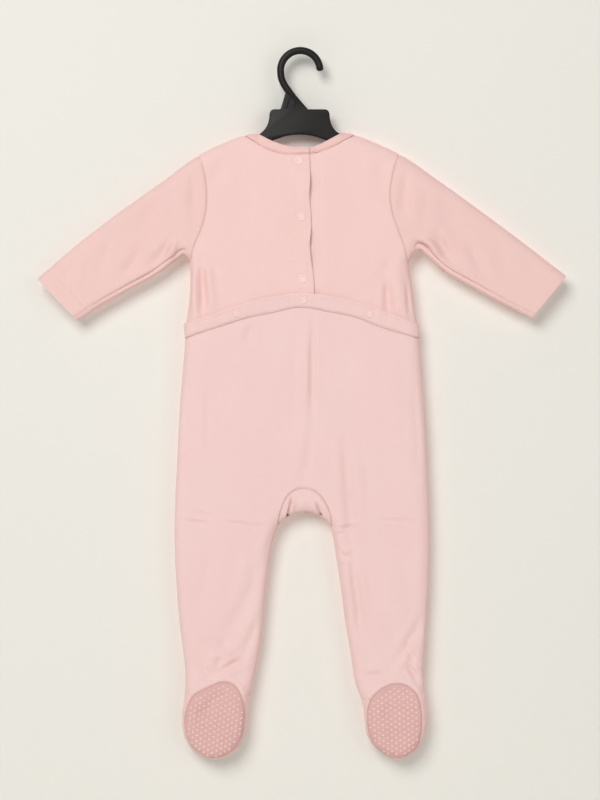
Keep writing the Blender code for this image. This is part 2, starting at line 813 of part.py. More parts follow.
ARC_ROWS = 5           # rows down each side of the gusset's seam
LEG_MIDS = 5           # columns between a leg's two rolled edges
crotchTop = rim.nearest(2.0, -480.8)
gussetTop = gussetSeam.nearest(1.5, -455.8)
gussetLeft = rim.nearest(*GUSSET[0])
gussetRight = rim.nearest(*GUSSET[-1])
ankles = {
    "left": (rim.nearest(-120.6, -656.0), rim.nearest(-49.4, -658.0)),
    "right": (rim.nearest(129.6, -656.0), rim.nearest(57.4, -658.0)),
}
heels = {
    "left": (rim.nearest(-121.2, -669.0), rim.nearest(-52.6, -672.6)),
    "right": (rim.nearest(131.4, -667.6), rim.nearest(63.0, -674.6)),
}


def half_columns(top, fork, ends):
    """Columns on a body row that ends in two legs, split at the fork."""
    legs = [spread(np.hypot(*(fork - ends[0])), LEG_MIDS), spread(np.hypot(*(ends[1] - fork)), LEG_MIDS)]
    row = [ends[0] + (fork - ends[0]) * s for s in legs[0]]
    row += [fork + (ends[1] - fork) * s for s in legs[1][1:]]
    half = len(legs[0]) - 1
    return np.array(row), spread(top.length, 2 * half - 6), half


def leg_grid(outer, inner, top, bottom):
    """One leg between its outer and inner edges, from the top row down."""
    vs = np.linspace(0, 1, len(outer))
    us = spread(np.hypot(*(top[-1] - top[0])), LEG_MIDS)
    low = bottom.at(us) if isinstance(bottom, Curve) else bottom
    return coons(outer, inner, top, low, us, vs)


def front_panel():
    """The whole front, cut in one from the neck to the ankles."""
    holdL, holdR = SEAM / 2 / topLeft.length, SEAM / 2 / topRight.length
    shoulderL = topLeft.part(topLeft.mark(3), topLeft.mark(1) + holdL)
    shoulderR = topRight.part(topRight.mark(1) + holdR, topRight.mark(3))
    neck = binding_rows("seam", NECK_LEFT, NECK_RIGHT)
    top = chain(shoulderL, neck, shoulderR)
    sideL = chain(armLeft, rim.part(0.0, rim.nearest(-131.6, -478.0)))
    sideR = chain(armRight, rim.part(1.0, rim.nearest(134.9, -478.0)))
    fork = rim.at(crotchTop)
    bottom, us, half = half_columns(top, fork, (sideL.path[-1], sideR.path[-1]))
    neckPart = neckSteps["front"]
    count = (2 * half + 1 - len(neckPart)) // 2 + 1
    shoulderPart = np.concatenate([[0.0, 0.06, 0.25], np.linspace(0.55, 1.0, count - 3)])
    topRow = np.vstack([
        shoulderL.at(shoulderPart),
        neck.at(neckPart)[1:-1],
        shoulderR.at(1 - shoulderPart[::-1]),
    ])
    rows = []
    for arm, side, key in ((armLeft, sideL, "left"), (armRight, sideR, "right")):
        down = rim.part(0.0 if key == "left" else 1.0, rim.nearest(*side.path[-1]))
        rows.append(np.vstack([arm.at(armSteps[key]), down.at(np.linspace(0, 1, 8))[1:]]))
    length = np.concatenate([[0], np.cumsum(np.linalg.norm(np.diff(rows[0], axis=0), axis=1))])
    vs = length / length[-1]
    us = np.linspace(0, 1, len(topRow))
    grid = coons(rows[0], rows[1], topRow, bottom, us, vs)
    inset(grid, "left", range(len(armSteps["left"])))
    inset(grid, "right", range(len(armSteps["right"])))
    inset(grid, "top", range(count, len(topRow) - count))
    piece = Cloth("front", bodyCotton)
    piece.grid(grid, FRONT)
    sideLow = rim.nearest(-131.6, -478.0), rim.nearest(134.9, -478.0)
    outer, inner = rim.part(sideLow[0], ankles["left"][0]), rim.part(crotchTop, ankles["left"][1])
    vs = np.linspace(0, 1, 9)
    leg = leg_grid(outer.at(vs), inner.at(vs), bottom[: half + 1], line(outer.path[-1], inner.path[-1]))
    inset(leg, "bottom")
    piece.grid(leg, FRONT)
    outer, inner = rim.part(sideLow[1], ankles["right"][0]), rim.part(crotchTop, ankles["right"][1])
    leg = leg_grid(outer.at(vs), inner.at(vs), bottom[half:][::-1], line(outer.path[-1], inner.path[-1]))
    inset(leg, "bottom")
    piece.grid(leg, FRONT)
    return piece.build()


def heel_row(hand):
    """The lower edge of a leg's back, over the top of the sole."""
    sole = soleLeft if hand == "left" else soleRight
    arc = sole.at(np.linspace(0.0, sole.mark(HEEL_ROWS), LEG_MIDS + 5))
    return np.vstack([rim.at(heels[hand][0]), arc, rim.at(heels[hand][1])])


def lower_back():
    """Seat and both leg backs, cut in one, around the gusset."""
    tops = rim.nearest(*bandSeam.path[0]), rim.nearest(*bandSeam.path[-1])
    lows = rim.nearest(-131.0, -466.0), rim.nearest(134.6, -466.0)
    sideL, sideR = rim.part(tops[0], lows[0]), rim.part(tops[1], lows[1])
    fork = gussetSeam.at(gussetTop) + (0.0, SEAM / 2)
    bottom, us, half = half_columns(bandSeam, fork, (sideL.path[-1], sideR.path[-1]))
    vs = np.concatenate([[0.0, TUCK / sideL.length], np.linspace(0.19, 1, 7)])
    top = np.stack([waistX, bandSeamHeight(waistX)], axis=-1)
    top[0], top[-1] = sideL.path[0], sideR.path[0]
    grid = coons(sideL.at(vs), sideR.at(vs), top, bottom, waist, vs)
    inset(grid, "top")
    piece = Cloth("lower_back", seatCotton)
    piece.grid(grid, BACK)
    for hand, low, join, end in (("left", lows[0], gussetLeft, 0.0), ("right", lows[1], gussetRight, 1.0)):
        heelOut, heelIn = heels[hand]
        arc = gussetSeam.at(np.linspace(gussetTop, end, ARC_ROWS + 1))
        arc[0], arc[-1] = fork, rim.at(join)
        inner = np.vstack([arc, rim.part(join, heelIn).at(np.linspace(0, 1, 10))[1:]])
        outer = rim.part(low, heelOut).at(np.linspace(0, 1, len(inner)))
        top = bottom[: half + 1] if hand == "left" else bottom[half:][::-1]
        leg = leg_grid(outer, inner, top, heel_row(hand))
        inset(leg, "right", range(1, ARC_ROWS))
        inset(leg, "bottom", amount=SEAM)
        piece.grid(leg, BACK)
    return piece.build()


front_panel()
lower_back()


# ------------------------------------------------------------------ crotch gusset

def crotch_gusset():
    fork = gussetSeam.at(gussetTop)
    left = gussetSeam.at(np.linspace(0.0, gussetTop, ARC_ROWS + 1))
    right = gussetSeam.at(np.linspace(gussetTop, 1.0, ARC_ROWS + 1))
    top = np.vstack([left, right[1:]])
    low = rim.part(gussetLeft, gussetRight)
    us = np.linspace(0, 1, len(top))
    us[0], us[-1] = 0.13, 0.87
    top[0], top[-1] = low.path[0] * 0.25 + top[1] * 0.75, low.path[-1] * 0.25 + top[-2] * 0.75
    bottom = low.at(us)
    middle = (fork + low.at(0.5)) / 2
    way = middle - top
    top = top + way / np.linalg.norm(way, axis=1, keepdims=True) * SEAM
    vs = np.linspace(0, 1, 4)
    grid = top[None] * (1 - vs[:, None, None]) + bottom[None] * vs[:, None, None]
    piece = Cloth("crotch_gusset", seatCotton)
    piece.grid(grid, BACK)
    return piece.build()


crotch_gusset()


# ------------------------------------------------------------------ sleeves

def sleeve(name, arm, top, under, aroundArm):
    """A tube from the armhole to an open cuff, folded at its upper edge."""
    upper = top.part(top.mark(3), 1.0)
    lower = under.part(1.0, 0.0)
    cuff = line(upper.path[-1], lower.path[-1])
    aroundCuff = spread(cuff.length, 4, roll=FOOT_ROLL)
    vs = np.linspace(0, 1, 10)
    us = (aroundArm + aroundCuff) / 2
    rows = coons(arm.at(aroundArm), cuff.at(aroundCuff), upper.at(vs), lower.at(vs), vs, us)
    grid = np.transpose(rows, (1, 0, 2))
    inset(grid, "top")
    sides = np.full(grid.shape[:2], BACK)
    sides[:, 0] = 0
    sides[:, -1] = 0
    piece = Cloth(name, sleeveCotton, wraps=True)
    piece.grid(grid, sides)
    piece.grid(grid[:, ::-1], -sides)
    return piece.build()


sleeve("sleeve_left", armLeft, topLeft, underLeft, armSteps["left"])
sleeve("sleeve_right", armRight, topRight, underRight, armSteps["right"])


# ------------------------------------------------------------------ feet

toeCorners = {
    "left": (rim.nearest(-109.0, -733.2), rim.nearest(-72.4, -734.0)),
    "right": (rim.nearest(118.0, -733.2), rim.nearest(86.6, -734.0)),
}


toeSeams = {}


def foot_upper(hand):
    """The top of the foot, turned round the toes to the sole's seam."""
    outerAnkle, innerAnkle = ankles[hand]
    outerToe, innerToe = toeCorners[hand]
    outerHeel, innerHeel = heels[hand]
    outer, inner = rim.part(outerAnkle, outerToe), rim.part(innerAnkle, innerToe)
    toe = rim.part(outerToe, innerToe)
    ankle = line(outer.path[0], inner.path[0])
    width = outer.at(0.5)[0] - inner.at(0.5)[0]
    us = spread(abs(width), 4, roll=FOOT_ROLL)
    vs = spread(outer.length, 4, False, True, FOOT_ROLL)
    outerJoint = rim.part(outerAnkle, outerHeel).length / outer.length
    innerJoint = rim.part(innerAnkle, innerHeel).length / inner.length
    vOut, vIn = through(vs, outerJoint), through(vs, innerJoint)
    grid = coons(outer.at(vOut), inner.at(vIn), ankle.at(us), toe.at(us), us, vs)
    inset(grid, "top")
    sides = np.full(grid.shape[:2], FRONT)
    sides[:, 0] = 0
    sides[:, -1] = 0
    sides[-1] = 0
    piece = Cloth("foot_upper_" + hand, bodyCotton, wraps=True, shift=SEAM / 2)
    piece.grid(grid, sides)
    a = int(np.argmin(np.abs(vOut - outerJoint)))
    b = int(np.argmin(np.abs(vIn - innerJoint)))
    run = np.vstack([grid[a:, 0], grid[-1, 1:-1], grid[b:, -1][::-1]])
    steps = np.linalg.norm(np.diff(run, axis=0), axis=1)
    shares = np.concatenate([[0.0], np.cumsum(steps)]) / steps.sum()
    sole = soleLeft if hand == "left" else soleRight
    seam = sole.part(1.0, sole.mark(HEEL_ROWS)).at(shares)
    toeSeams[hand] = seam.copy()
    strip = np.stack([run, (run + seam) / 2, seam])
    inset(strip, "bottom")
    inset(strip, "left", [1, 2], SEAM)
    inset(strip, "right", [1, 2], SEAM)
    faced = np.full(strip.shape[:2], BACK)
    faced[0] = 0
    piece.grid(strip, faced)
    return piece.build()


def sole(hand):
    """A flat oval under the foot, cupped by its seam."""
    edge = np.vstack([heel_row(hand)[1:-1], toeSeams[hand][::-1][1:-1]])
    middle = edge.mean(axis=0)
    way = (middle - edge) / np.linalg.norm(middle - edge, axis=1, keepdims=True)
    edge = edge + way * SEAM / 2
    piece = Cloth("sole_" + hand, soleCotton, ply=SOLE_PLY)
    rings = [0.4, 0.75, 0.9, 1.0]
    grid = np.stack([middle + (edge - middle) * share for share in rings])
    grid = np.concatenate([grid, grid[:, :1]], axis=1)
    ids = piece.grid(grid, BACK)
    centre = piece.spot(*middle, BACK)
    for a, b in zip(ids[0], ids[0][1:]):
        piece.face(centre, a, b)
    return piece.build()


for hand in ("left", "right"):
    foot_upper(hand)
    sole(hand)


# ------------------------------------------------------------------ snap caps

def snap(name, x, z, carrier):
    """A ring cap turned about its own axis, just clear of the cloth."""
    x1, z1, side = np.array([x]), np.array([z]), np.array([-1.0])
    lift = band_lift(x1, z1, side) if carrier == "band" else left_back_lift(x1, z1, side)
    spot = place(x1, z1, side, lift + (3 if carrier == "band" else 2) * SEAM, False)[0]
    profile = [
        (0.0, 0.0),
        (SNAP_R, 0.0),
        (SNAP_R, 0.35 * SNAP_H),
        (SNAP_R - 0.35, 0.85 * SNAP_H),
        (SNAP_R - 1.0, SNAP_H),
        (SNAP_R - 1.7, 0.8 * SNAP_H),
        (SNAP_R - 2.0, 0.4 * SNAP_H),
        (0.0, 0.45 * SNAP_H),
    ]
    mesh = bpy.data.meshes.new(name)
    points = [(r * MM, -h * MM, 0.0) for r, h in profile]
    mesh.from_pydata(points, [(i, i + 1) for i in range(len(points) - 1)], [])
    obj = finish(name, mesh, snapPlastic)
    obj.location = (spot[0] * MM, spot[1] * MM, spot[2] * MM)
    turn = obj.modifiers.new("turn", "SCREW")
    turn.axis = "Y"
    turn.angle = math.tau
    turn.screw_offset = 0.0
    turn.steps = 20
    turn.render_steps = 20
    turn.use_merge_vertices = True
    turn.merge_threshold = 0.00001
    turn.use_normal_calculate = True
    return obj


for name, x, z, carrier in SNAPS:
    snap(name, x, z, carrier)


# ------------------------------------------------------------------ hanger

# The plate's edge from its middle outward: half width, z
PLATE_TOP = [(26.5, -57.9), (30.2, -59.6), (31.6, -63.4), (32.2, -69.0), (34.4, -75.6), (38.8, -81.4)]
PLATE_ARCH = [(30.8, -92.2), (23.0, -88.7), (13.0, -85.6), (0.0, -84.5)]
# The neck between the plate and the hook: x, z
NECK = [(-21.6, -57.9), (-16.4, -43.0), (-8.0, -37.0), (7.6, -57.9)]


def arm_edges(shoulder, hand):
    """The top and bottom edges of the arm inside one shoulder."""
    shares = np.linspace(0.0, 1.0, 200)
    run = shoulder.at(shares)
    ahead = np.gradient(run, axis=0)
    ahead /= np.linalg.norm(ahead, axis=1, keepdims=True)
    down = np.stack([ahead[:, 1], -ahead[:, 0]], axis=-1)
    down *= np.where(down[:, 1:] > 0, -1.0, 1.0)
    upper = run + down * ARM_DROP
    wanted = np.linspace(46.0, ARM_REACH, 8)
    order = np.argsort(upper[:, 0] * hand)
    z = np.interp(wanted, (upper[:, 0] * hand)[order], upper[order, 1])
    top = [(hand * w, v) for w, v in zip(wanted, z)]
    low = [(hand * w, v - ARM_DEEP * (1.0 - 0.25 * i / 7)) for i, (w, v) in enumerate(zip(wanted, z))]
    return top, low[::-1]


def plate_outline():
    rightTop, rightLow = arm_edges(topRight, 1)
    leftTop, leftLow = arm_edges(topLeft, -1)
    right = [(PLATE_MID + w, z) for w, z in PLATE_TOP] + rightTop
    tipR = (rightTop[-1][0] + 2.6, (rightTop[-1][1] + rightLow[0][1]) / 2 - 1.2)
    underR = rightLow + [(PLATE_MID + w, z) for w, z in PLATE_ARCH]
    left = [(PLATE_MID - w, z) for w, z in PLATE_TOP] + leftTop
    tipL = (leftTop[-1][0] - 2.6, (leftTop[-1][1] + leftLow[0][1]) / 2 - 1.2)
    underL = leftLow + [(PLATE_MID - w, z) for w, z in PLATE_ARCH[:-1]]
    return NECK + right + [tipR] + underR + underL[::-1] + [tipL] + left[::-1]


def hanger():
    """Hook, plate and arms, moulded in one."""
    outline = plate_outline()
    bm = bmesh.new()
    half = PLATE_T / 2 * MM
    loop = [bm.verts.new((x * MM, -half, z * MM)) for x, z in outline]
    face = bm.faces.new(loop)
    lump = bmesh.ops.extrude_face_region(bm, geom=[face])
    moved = [v for v in lump["geom"] if isinstance(v, bmesh.types.BMVert)]
    bmesh.ops.translate(bm, verts=moved, vec=(0.0, PLATE_T * MM, 0.0))
    bmesh.ops.recalc_face_normals(bm, faces=bm.faces)
    mesh = bpy.data.meshes.new("hanger")
    bm.to_mesh(mesh)
    bm.free()
    plate = finish("hanger", mesh, hangerPlastic)
    edge = plate.modifiers.new("rounded edges", "BEVEL")
    edge.width = 1.2 * MM
    edge.segments = 2
    edge.limit_method = "ANGLE"
    edge.angle_limit = math.radians(50)
    union = plate.modifiers.new("hook", "BOOLEAN")
    union.operation = "UNION"
    union.solver = "EXACT"
    union.object = hook_bar()
    return plate


def hook_bar():
    """The hook's round bar, from its tip over the rail and down to the plate."""
    middle = -(HOOK_R - BAR_R)
    sweep = [math.radians(a) for a in range(-2, 183, 8)]
    path = [(HOOK_R * math.cos(a), middle + HOOK_R * math.sin(a)) for a in sweep]
    path += [(-19.6, -25.0), (-16.8, -31.6), (-12.8, -37.8), (-8.6, -44.0)]
    path += [(-4.4, -50.4), (-0.6, -57.0), (1.4, -61.0)]
    tip = path[0]
    path = [(tip[0] - 0.15, tip[1] - 1.6)] + path
    data = bpy.data.curves.new("hook_bar", "CURVE")
    data.dimensions = "3D"
    data.bevel_depth = BAR_R * MM
    data.bevel_resolution = 3
    data.use_fill_caps = True
    data.resolution_u = 1
    data.render_resolution_u = 1
    spline = data.splines.new("POLY")
    spline.points.add(len(path) - 1)
    for i, (point, (x, z)) in enumerate(zip(spline.points, path)):
        point.co = (x * MM, 0.0, z * MM, 1.0)
        point.radius = 0.72 if i == 0 else 1.0
    sweepShape = bpy.data.objects.new("hook_bar_curve", data)
    mesh = bpy.data.meshes.new_from_object(sweepShape)
    mesh.name = "hook_bar"
    bpy.data.objects.remove(sweepShape, do_unlink=True)
    bm = bmesh.new()
    bm.from_mesh(mesh)
    bmesh.ops.remove_doubles(bm, verts=bm.verts, dist=0.00001)
    bmesh.ops.recalc_face_normals(bm, faces=bm.faces)
    bm.to_mesh(mesh)
    bm.free()
    bar = bpy.data.objects.new("hook_bar", mesh)
    cutters.objects.link(bar)
    bar.hide_render = True
    bar.display_type = "WIRE"
    return bar


cutters = bpy.data.collections.new("joined_shapes")
bpy.context.scene.collection.children.link(cutters)
hanger()
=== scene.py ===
# A footed baby sleepsuit on its hanger: the finished cloth, stitching, snaps and hanger, round the frame.
# Tables and sizes are in millimetres; they become metres once, where a mesh is made.
# The suit's back faces -Y. Cloth follows one double surface that rolls over at the suit's outline.
import math

import bmesh
import bpy
import numpy as np
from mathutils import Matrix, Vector
from mathutils.kdtree import KDTree


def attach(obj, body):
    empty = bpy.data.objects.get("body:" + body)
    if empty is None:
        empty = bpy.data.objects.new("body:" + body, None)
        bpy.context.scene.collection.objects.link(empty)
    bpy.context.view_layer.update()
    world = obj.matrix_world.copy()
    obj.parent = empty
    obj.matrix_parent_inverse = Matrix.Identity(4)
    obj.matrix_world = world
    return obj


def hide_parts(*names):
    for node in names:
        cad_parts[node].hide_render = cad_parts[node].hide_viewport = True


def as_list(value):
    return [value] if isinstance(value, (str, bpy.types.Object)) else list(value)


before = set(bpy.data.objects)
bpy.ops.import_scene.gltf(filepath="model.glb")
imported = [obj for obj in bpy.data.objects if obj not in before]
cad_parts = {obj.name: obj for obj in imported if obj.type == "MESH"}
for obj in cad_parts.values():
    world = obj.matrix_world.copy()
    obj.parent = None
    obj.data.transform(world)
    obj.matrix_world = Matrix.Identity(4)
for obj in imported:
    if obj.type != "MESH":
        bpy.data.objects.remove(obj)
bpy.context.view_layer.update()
mm = 0.001
print("frame loaded:", len(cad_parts), "nodes")

shape = {
    "bodyDepth": 9.0,      # half the depth of the hanging body
    "sleeveDepth": 7.0,
    "footDepth": 14.5,
    "roll": 13.0,          # how far in from an edge the cloth rolls over
    "footRoll": 10.0,
    "onEdge": 0.16,        # nearer than this to a closed edge counts as on it
    "seam": 0.3,           # room between two solids at a seam
}

# The closed top edge of each half: place, left x, left z, right x, right z
topEdge = [
    ("neck", -45.0, -83.6, 44.0, -82.4), ("binding", -58.0, -85.4, 57.0, -84.9),
    ("shoulder", -82.0, -94.2, 80.0, -93.6), ("armhole", -107.0, -106.6, 104.5, -105.2),
    ("upper arm", -142.8, -132.6, 144.9, -132.6), ("elbow", -195.0, -169.8, 196.0, -169.6),
    ("forearm", -245.7, -209.6, 247.8, -208.6), ("cuff", -275.9, -236.3, 278.6, -232.9),
]

# The closed lower edge of each sleeve: place, left x, left z, right x, right z
lowEdge = [
    ("cuff", -233.8, -279.8, 242.6, -277.2), ("forearm", -211.0, -265.2, 212.0, -262.0),
    ("elbow", -180.0, -247.6, 180.0, -244.6), ("upper arm", -148.0, -229.8, 150.0, -227.2),
    ("notch", -129.0, -215.4, 132.4, -211.4), ("notch", -121.8, -210.8, 125.2, -205.2),
    ("notch", -118.0, -213.6, 118.4, -210.0), ("underarm", -116.4, -219.0, 113.8, -219.4),
]

# The body's sides below the arms: z, left x, right x
sideEdges = [
    (-230.0, -115.5, 114.6), (-242.0, -115.6, 116.8), (-267.0, -117.6, 119.7), (-284.0, -120.2, 122.9),
    (-309.0, -121.4, 125.4), (-342.0, -124.4, 127.8), (-384.0, -127.4, 131.0), (-426.0, -129.2, 132.9),
    (-468.0, -131.4, 134.7), (-510.0, -132.0, 135.5), (-552.0, -130.2, 134.7), (-594.0, -127.1, 132.6),
    (-625.0, -123.4, 131.0), (-650.0, -120.6, 129.4), (-671.0, -121.4, 131.6), (-690.0, -123.8, 133.3),
    (-706.0, -123.9, 132.2), (-721.0, -119.4, 127.6), (-732.5, -110.0, 119.0),
]

# The toes' lowest point: left x, left z, right x, right z
toePoints = (-90.0, -740.2, 102.5, -740.4)

# The inner side of each leg: z, left leg's x, right leg's x
innerLegs = [
    (-733.5, -71.8, 86.0), (-723.0, -62.0, 74.2), (-712.0, -57.6, 69.2), (-698.0, -55.4, 67.0),
    (-684.0, -55.0, 66.0), (-674.0, -53.0, 62.8), (-658.0, -49.4, 57.4), (-640.0, -45.7, 54.4),
    (-621.0, -42.0, 51.4), (-594.0, -38.9, 46.9), (-552.0, -35.0, 41.3), (-524.0, -31.2, 37.0),
    (-506.0, -27.6, 34.2),
]

# The bottom of the crotch: x, z
crotchEdge = [
    (-21.4, -492.6), (-12.0, -484.6), (2.0, -480.8), (20.0, -483.8), (30.0, -492.4),
]

# The gusset's upper seam: x, z
gussetPoints = [
    (-22.6, -493.6), (-19.9, -477.8), (-13.5, -463.8), (-2.6, -456.2), (6.3, -455.6), (17.2, -459.7),
    (26.2, -470.6), (31.0, -482.6), (32.0, -496.0),
]

# The armholes: left x, left z, right x, right z
armholePoints = [
    (-107.0, -106.6, 104.5, -105.2), (-102.4, -118.0, 99.2, -118.5), (-98.8, -133.0, 95.6, -132.6),
    (-97.6, -149.0, 94.0, -149.0), (-98.8, -166.0, 96.4, -167.0), (-103.4, -184.0, 102.2, -184.0),
    (-110.6, -200.4, 108.0, -199.6), (-116.4, -219.0, 113.8, -219.4),
]

# The neck binding: side (-1 back, 1 front), free edge x, z, seam x, z
bindingPoints = [
    (-1, 9.0, -98.8, 9.6, -105.4), (-1, -10.5, -97.9, -10.5, -106.0), (-1, -21.0, -95.2, -24.0, -104.0),
    (-1, -31.5, -91.2, -37.4, -98.8), (-1, -40.5, -86.4, -49.6, -91.4), (0, -45.0, -83.6, -58.0, -85.4),
    (1, -45.6, -93.0, -54.0, -96.0), (1, -38.0, -104.0, -45.0, -109.4),
    (1, -22.0, -112.6, -26.0, -120.4), (1, 0.0, -116.0, 0.0, -124.2), (1, 22.0, -112.6, 26.0, -120.4),
    (1, 38.0, -104.0, 45.0, -109.4), (1, 44.6, -92.6, 53.0, -96.0), (0, 44.0, -82.4, 57.0, -84.9),
    (-1, 39.5, -85.4, 48.6, -89.6), (-1, 30.5, -90.4, 36.4, -96.6), (-1, 20.0, -95.6, 23.0, -101.9),
    (-1, 10.5, -98.9, 10.5, -105.0), (-1, -9.0, -99.6, -9.0, -106.2),
]

# The edge of the upper left back, which laps over the right: z, x
placketPoints = [
    (-105.4, 9.6), (-132.0, 10.2), (-150.0, 9.4), (-167.0, 10.9), (-183.0, 11.3), (-201.0, 9.9),
    (-216.0, 11.2), (-234.0, 13.8), (-254.0, 14.6), (-275.0, 14.8),
]

# The seat band: x, free upper edge z, lower seam z
bandPoints = [
    (-121.0, -282.4, -297.8), (-112.6, -280.0, -295.2), (-97.5, -275.2, -290.4),
    (-80.0, -269.2, -284.8), (-58.0, -261.6, -277.6), (-30.0, -255.0, -271.8), (2.0, -251.2, -265.9),
    (30.0, -254.2, -270.6), (62.0, -261.4, -277.6), (82.0, -267.6, -285.8), (101.0, -275.6, -291.8),
    (124.6, -283.8, -298.0),
]

# Each sole's outline from the outer heel over the top and round the toe:
# place, left x, left z, right x, right z
solePoints = [
    ("outer heel", -112.0, -671.9, 121.4, -669.6), ("heel", -102.6, -666.2, 112.6, -662.4),
    ("heel", -92.0, -661.2, 101.4, -659.2), ("heel", -81.0, -657.4, 90.8, -661.4),
    ("heel", -70.6, -659.8, 82.0, -667.0), ("inner heel", -61.6, -671.4, 74.0, -675.0),
    ("instep", -57.6, -686.0, 69.6, -687.0), ("instep", -57.8, -701.0, 69.4, -701.0),
    ("ball", -60.6, -714.4, 72.0, -715.6), ("toe", -67.6, -726.8, 79.4, -727.4),
    ("toe", -78.6, -735.0, 90.4, -735.2), ("toe", -91.0, -737.4, 103.4, -737.4),
    ("toe", -104.6, -733.4, 114.8, -733.2), ("toe", -114.6, -724.4, 123.0, -725.0),
    ("ball", -120.2, -710.0, 126.6, -711.4), ("edge", -121.2, -696.0, 127.2, -697.0),
    ("edge", -118.4, -682.6, 125.8, -681.6),
]
heelRows = 5          # rows of solePoints that the leg's back is sewn to

# Snap caps: name, x, z, what carries them
snapPlaces = [
    ("snap_neck", -1.4, -112.4, "placket"), ("snap_middle", 0.6, -171.2, "placket"),
    ("snap_waist", 2.4, -236.4, "placket"), ("snap_seat_centre", 2.9, -258.0, "band"),
    ("snap_seat_left", -66.9, -272.3, "band"), ("snap_seat_right", 72.4, -272.6, "band"),
]


class Curve:
    # a smooth curve through a table's points, run by its share of length
    def __init__(self, points, step=1.2, closed=False):
        pts = np.asarray(points, float)
        if closed:
            pts = np.vstack([pts[-2:], pts, pts[:2]])
        gaps = np.linalg.norm(np.diff(pts, axis=0), axis=1)
        slopes = np.diff(pts, axis=0) / gaps[:, None]
        turn = np.empty_like(pts)
        turn[0], turn[-1] = slopes[0], slopes[-1]
        before, after = gaps[:-1, None], gaps[1:, None]
        turn[1:-1] = (slopes[:-1] * after + slopes[1:] * before) / (before + after)
        path, self.marks = [], []
        first, last = (2, len(pts) - 3) if closed else (0, len(pts) - 1)
        for i in range(first, last + (1 if closed else 0)):
            count = max(2, int(round(gaps[i] / step)))
            t = np.arange(count)[:, None] / count
            self.marks.append(sum(len(part) for part in path))
            path.append(
                pts[i] * (2 * t**3 - 3 * t**2 + 1) + turn[i] * gaps[i] * (t**3 - 2 * t**2 + t)
                + pts[i + 1] * (3 * t**2 - 2 * t**3) + turn[i + 1] * gaps[i] * (t**3 - t**2)
            )
        self.marks.append(sum(len(part) for part in path))
        end = pts[first] if closed else pts[-1]
        self.path = np.vstack(path + [end[None]])
        self.measure()

    def measure(self):
        lengths = np.linalg.norm(np.diff(self.path, axis=0), axis=1)
        self.run = np.concatenate([[0.0], np.cumsum(lengths)])
        self.length = self.run[-1]
        self.run = self.run / self.length

    def at(self, shares):
        return np.stack([np.interp(shares, self.run, self.path[:, k]) for k in (0, 1)], axis=-1)

    def mark(self, row):
        return float(self.run[self.marks[row]])

    def nearest(self, x, z):
        return float(self.run[np.argmin(np.hypot(self.path[:, 0] - x, self.path[:, 1] - z))])

    def part(self, a, b):
        low, high = min(a, b), max(a, b)
        within = self.run[(self.run > low + 1e-9) & (self.run < high - 1e-9)]
        shares = np.concatenate([[low], within, [high]])
        return Path(self.at(shares if b > a else shares[::-1]))


class Path(Curve):
    # a curve that is already a fine run of points
    def __init__(self, points):
        keep = [points[0]]
        for point in points[1:]:
            if np.hypot(*(point - keep[-1])) > 1e-6:
                keep.append(point)
        self.path = np.array(keep)
        self.measure()


def chain(*paths):
    return Path(np.vstack([p.path for p in paths]))


def pick(table, first):
    return [(row[first], row[first + 1]) for row in table]


def line(a, b):
    return Path(np.array([a, b], float))


topLeft, topRight = Curve(pick(topEdge, 1)), Curve(pick(topEdge, 3))
underLeft, underRight = Curve(pick(lowEdge, 1)), Curve(pick(lowEdge, 3))
armLeft, armRight = Curve(pick(armholePoints, 0)), Curve(pick(armholePoints, 2))
insideRun = (
    [(toePoints[0], toePoints[1])] + [(row[1], row[0]) for row in innerLegs] + crotchEdge
    + [(row[2], row[0]) for row in reversed(innerLegs)] + [(toePoints[2], toePoints[3])]
)
outerLeft = [pick(lowEdge, 1)[-1]] + [(row[1], row[0]) for row in sideEdges]
outerRight = [(row[2], row[0]) for row in reversed(sideEdges)] + [pick(lowEdge, 3)[-1]]
rim = Curve(outerLeft + insideRun + outerRight)
gussetSeam = Curve(gussetPoints)
placket = Curve([(row[1], row[0]) for row in placketPoints])


def across(column):
    points = [(row[0], row[column]) for row in bandPoints]
    for end in (0, -1):
        points[end] = tuple(rim.at(rim.nearest(*points[end])))
    return Curve(points)


bandTop, bandSeam = across(1), across(2)
soleEdges = {hand: Curve(pick(solePoints, k), closed=True) for hand, k in (("left", 1), ("right", 3))}

closedEdges = [topLeft, topRight, underLeft, underRight, rim]
edgePoints = np.vstack([c.path for c in closedEdges])
edgeBefore, edgeAfter = np.arange(len(edgePoints)) - 1, np.arange(len(edgePoints)) + 1
at = 0
for c in closedEdges:
    edgeBefore[at] = at
    at += len(c.path)
    edgeAfter[at - 1] = at - 1
edgeTree = KDTree(len(edgePoints))
for i, (px, pz) in enumerate(edgePoints):
    edgeTree.insert((px, pz, 0.0), i)
edgeTree.balance()
outline = np.vstack([
    topLeft.path[::-1], topRight.path, underRight.path, rim.path[::-1], underLeft.path[::-1],
])


def isInside(ring, x, z):
    a, b = ring, np.roll(ring, -1, axis=0)
    cross = (a[None, :, 1] > z[:, None]) != (b[None, :, 1] > z[:, None])
    with np.errstate(divide="ignore", invalid="ignore"):
        where = (b[:, 0] - a[:, 0]) * (z[:, None] - a[:, 1]) / (b[:, 1] - a[:, 1]) + a[:, 0]
    return (cross & (x[:, None] < where)).sum(axis=1) % 2 == 1


def toSegment(p, a, b):
    along = b - a
    size = np.maximum(np.einsum("ij,ij->i", along, along), 1e-12)
    t = np.clip(np.einsum("ij,ij->i", p - a, along) / size, 0, 1)
    off = p - a - t[:, None] * along
    return np.linalg.norm(off, axis=1), off, along


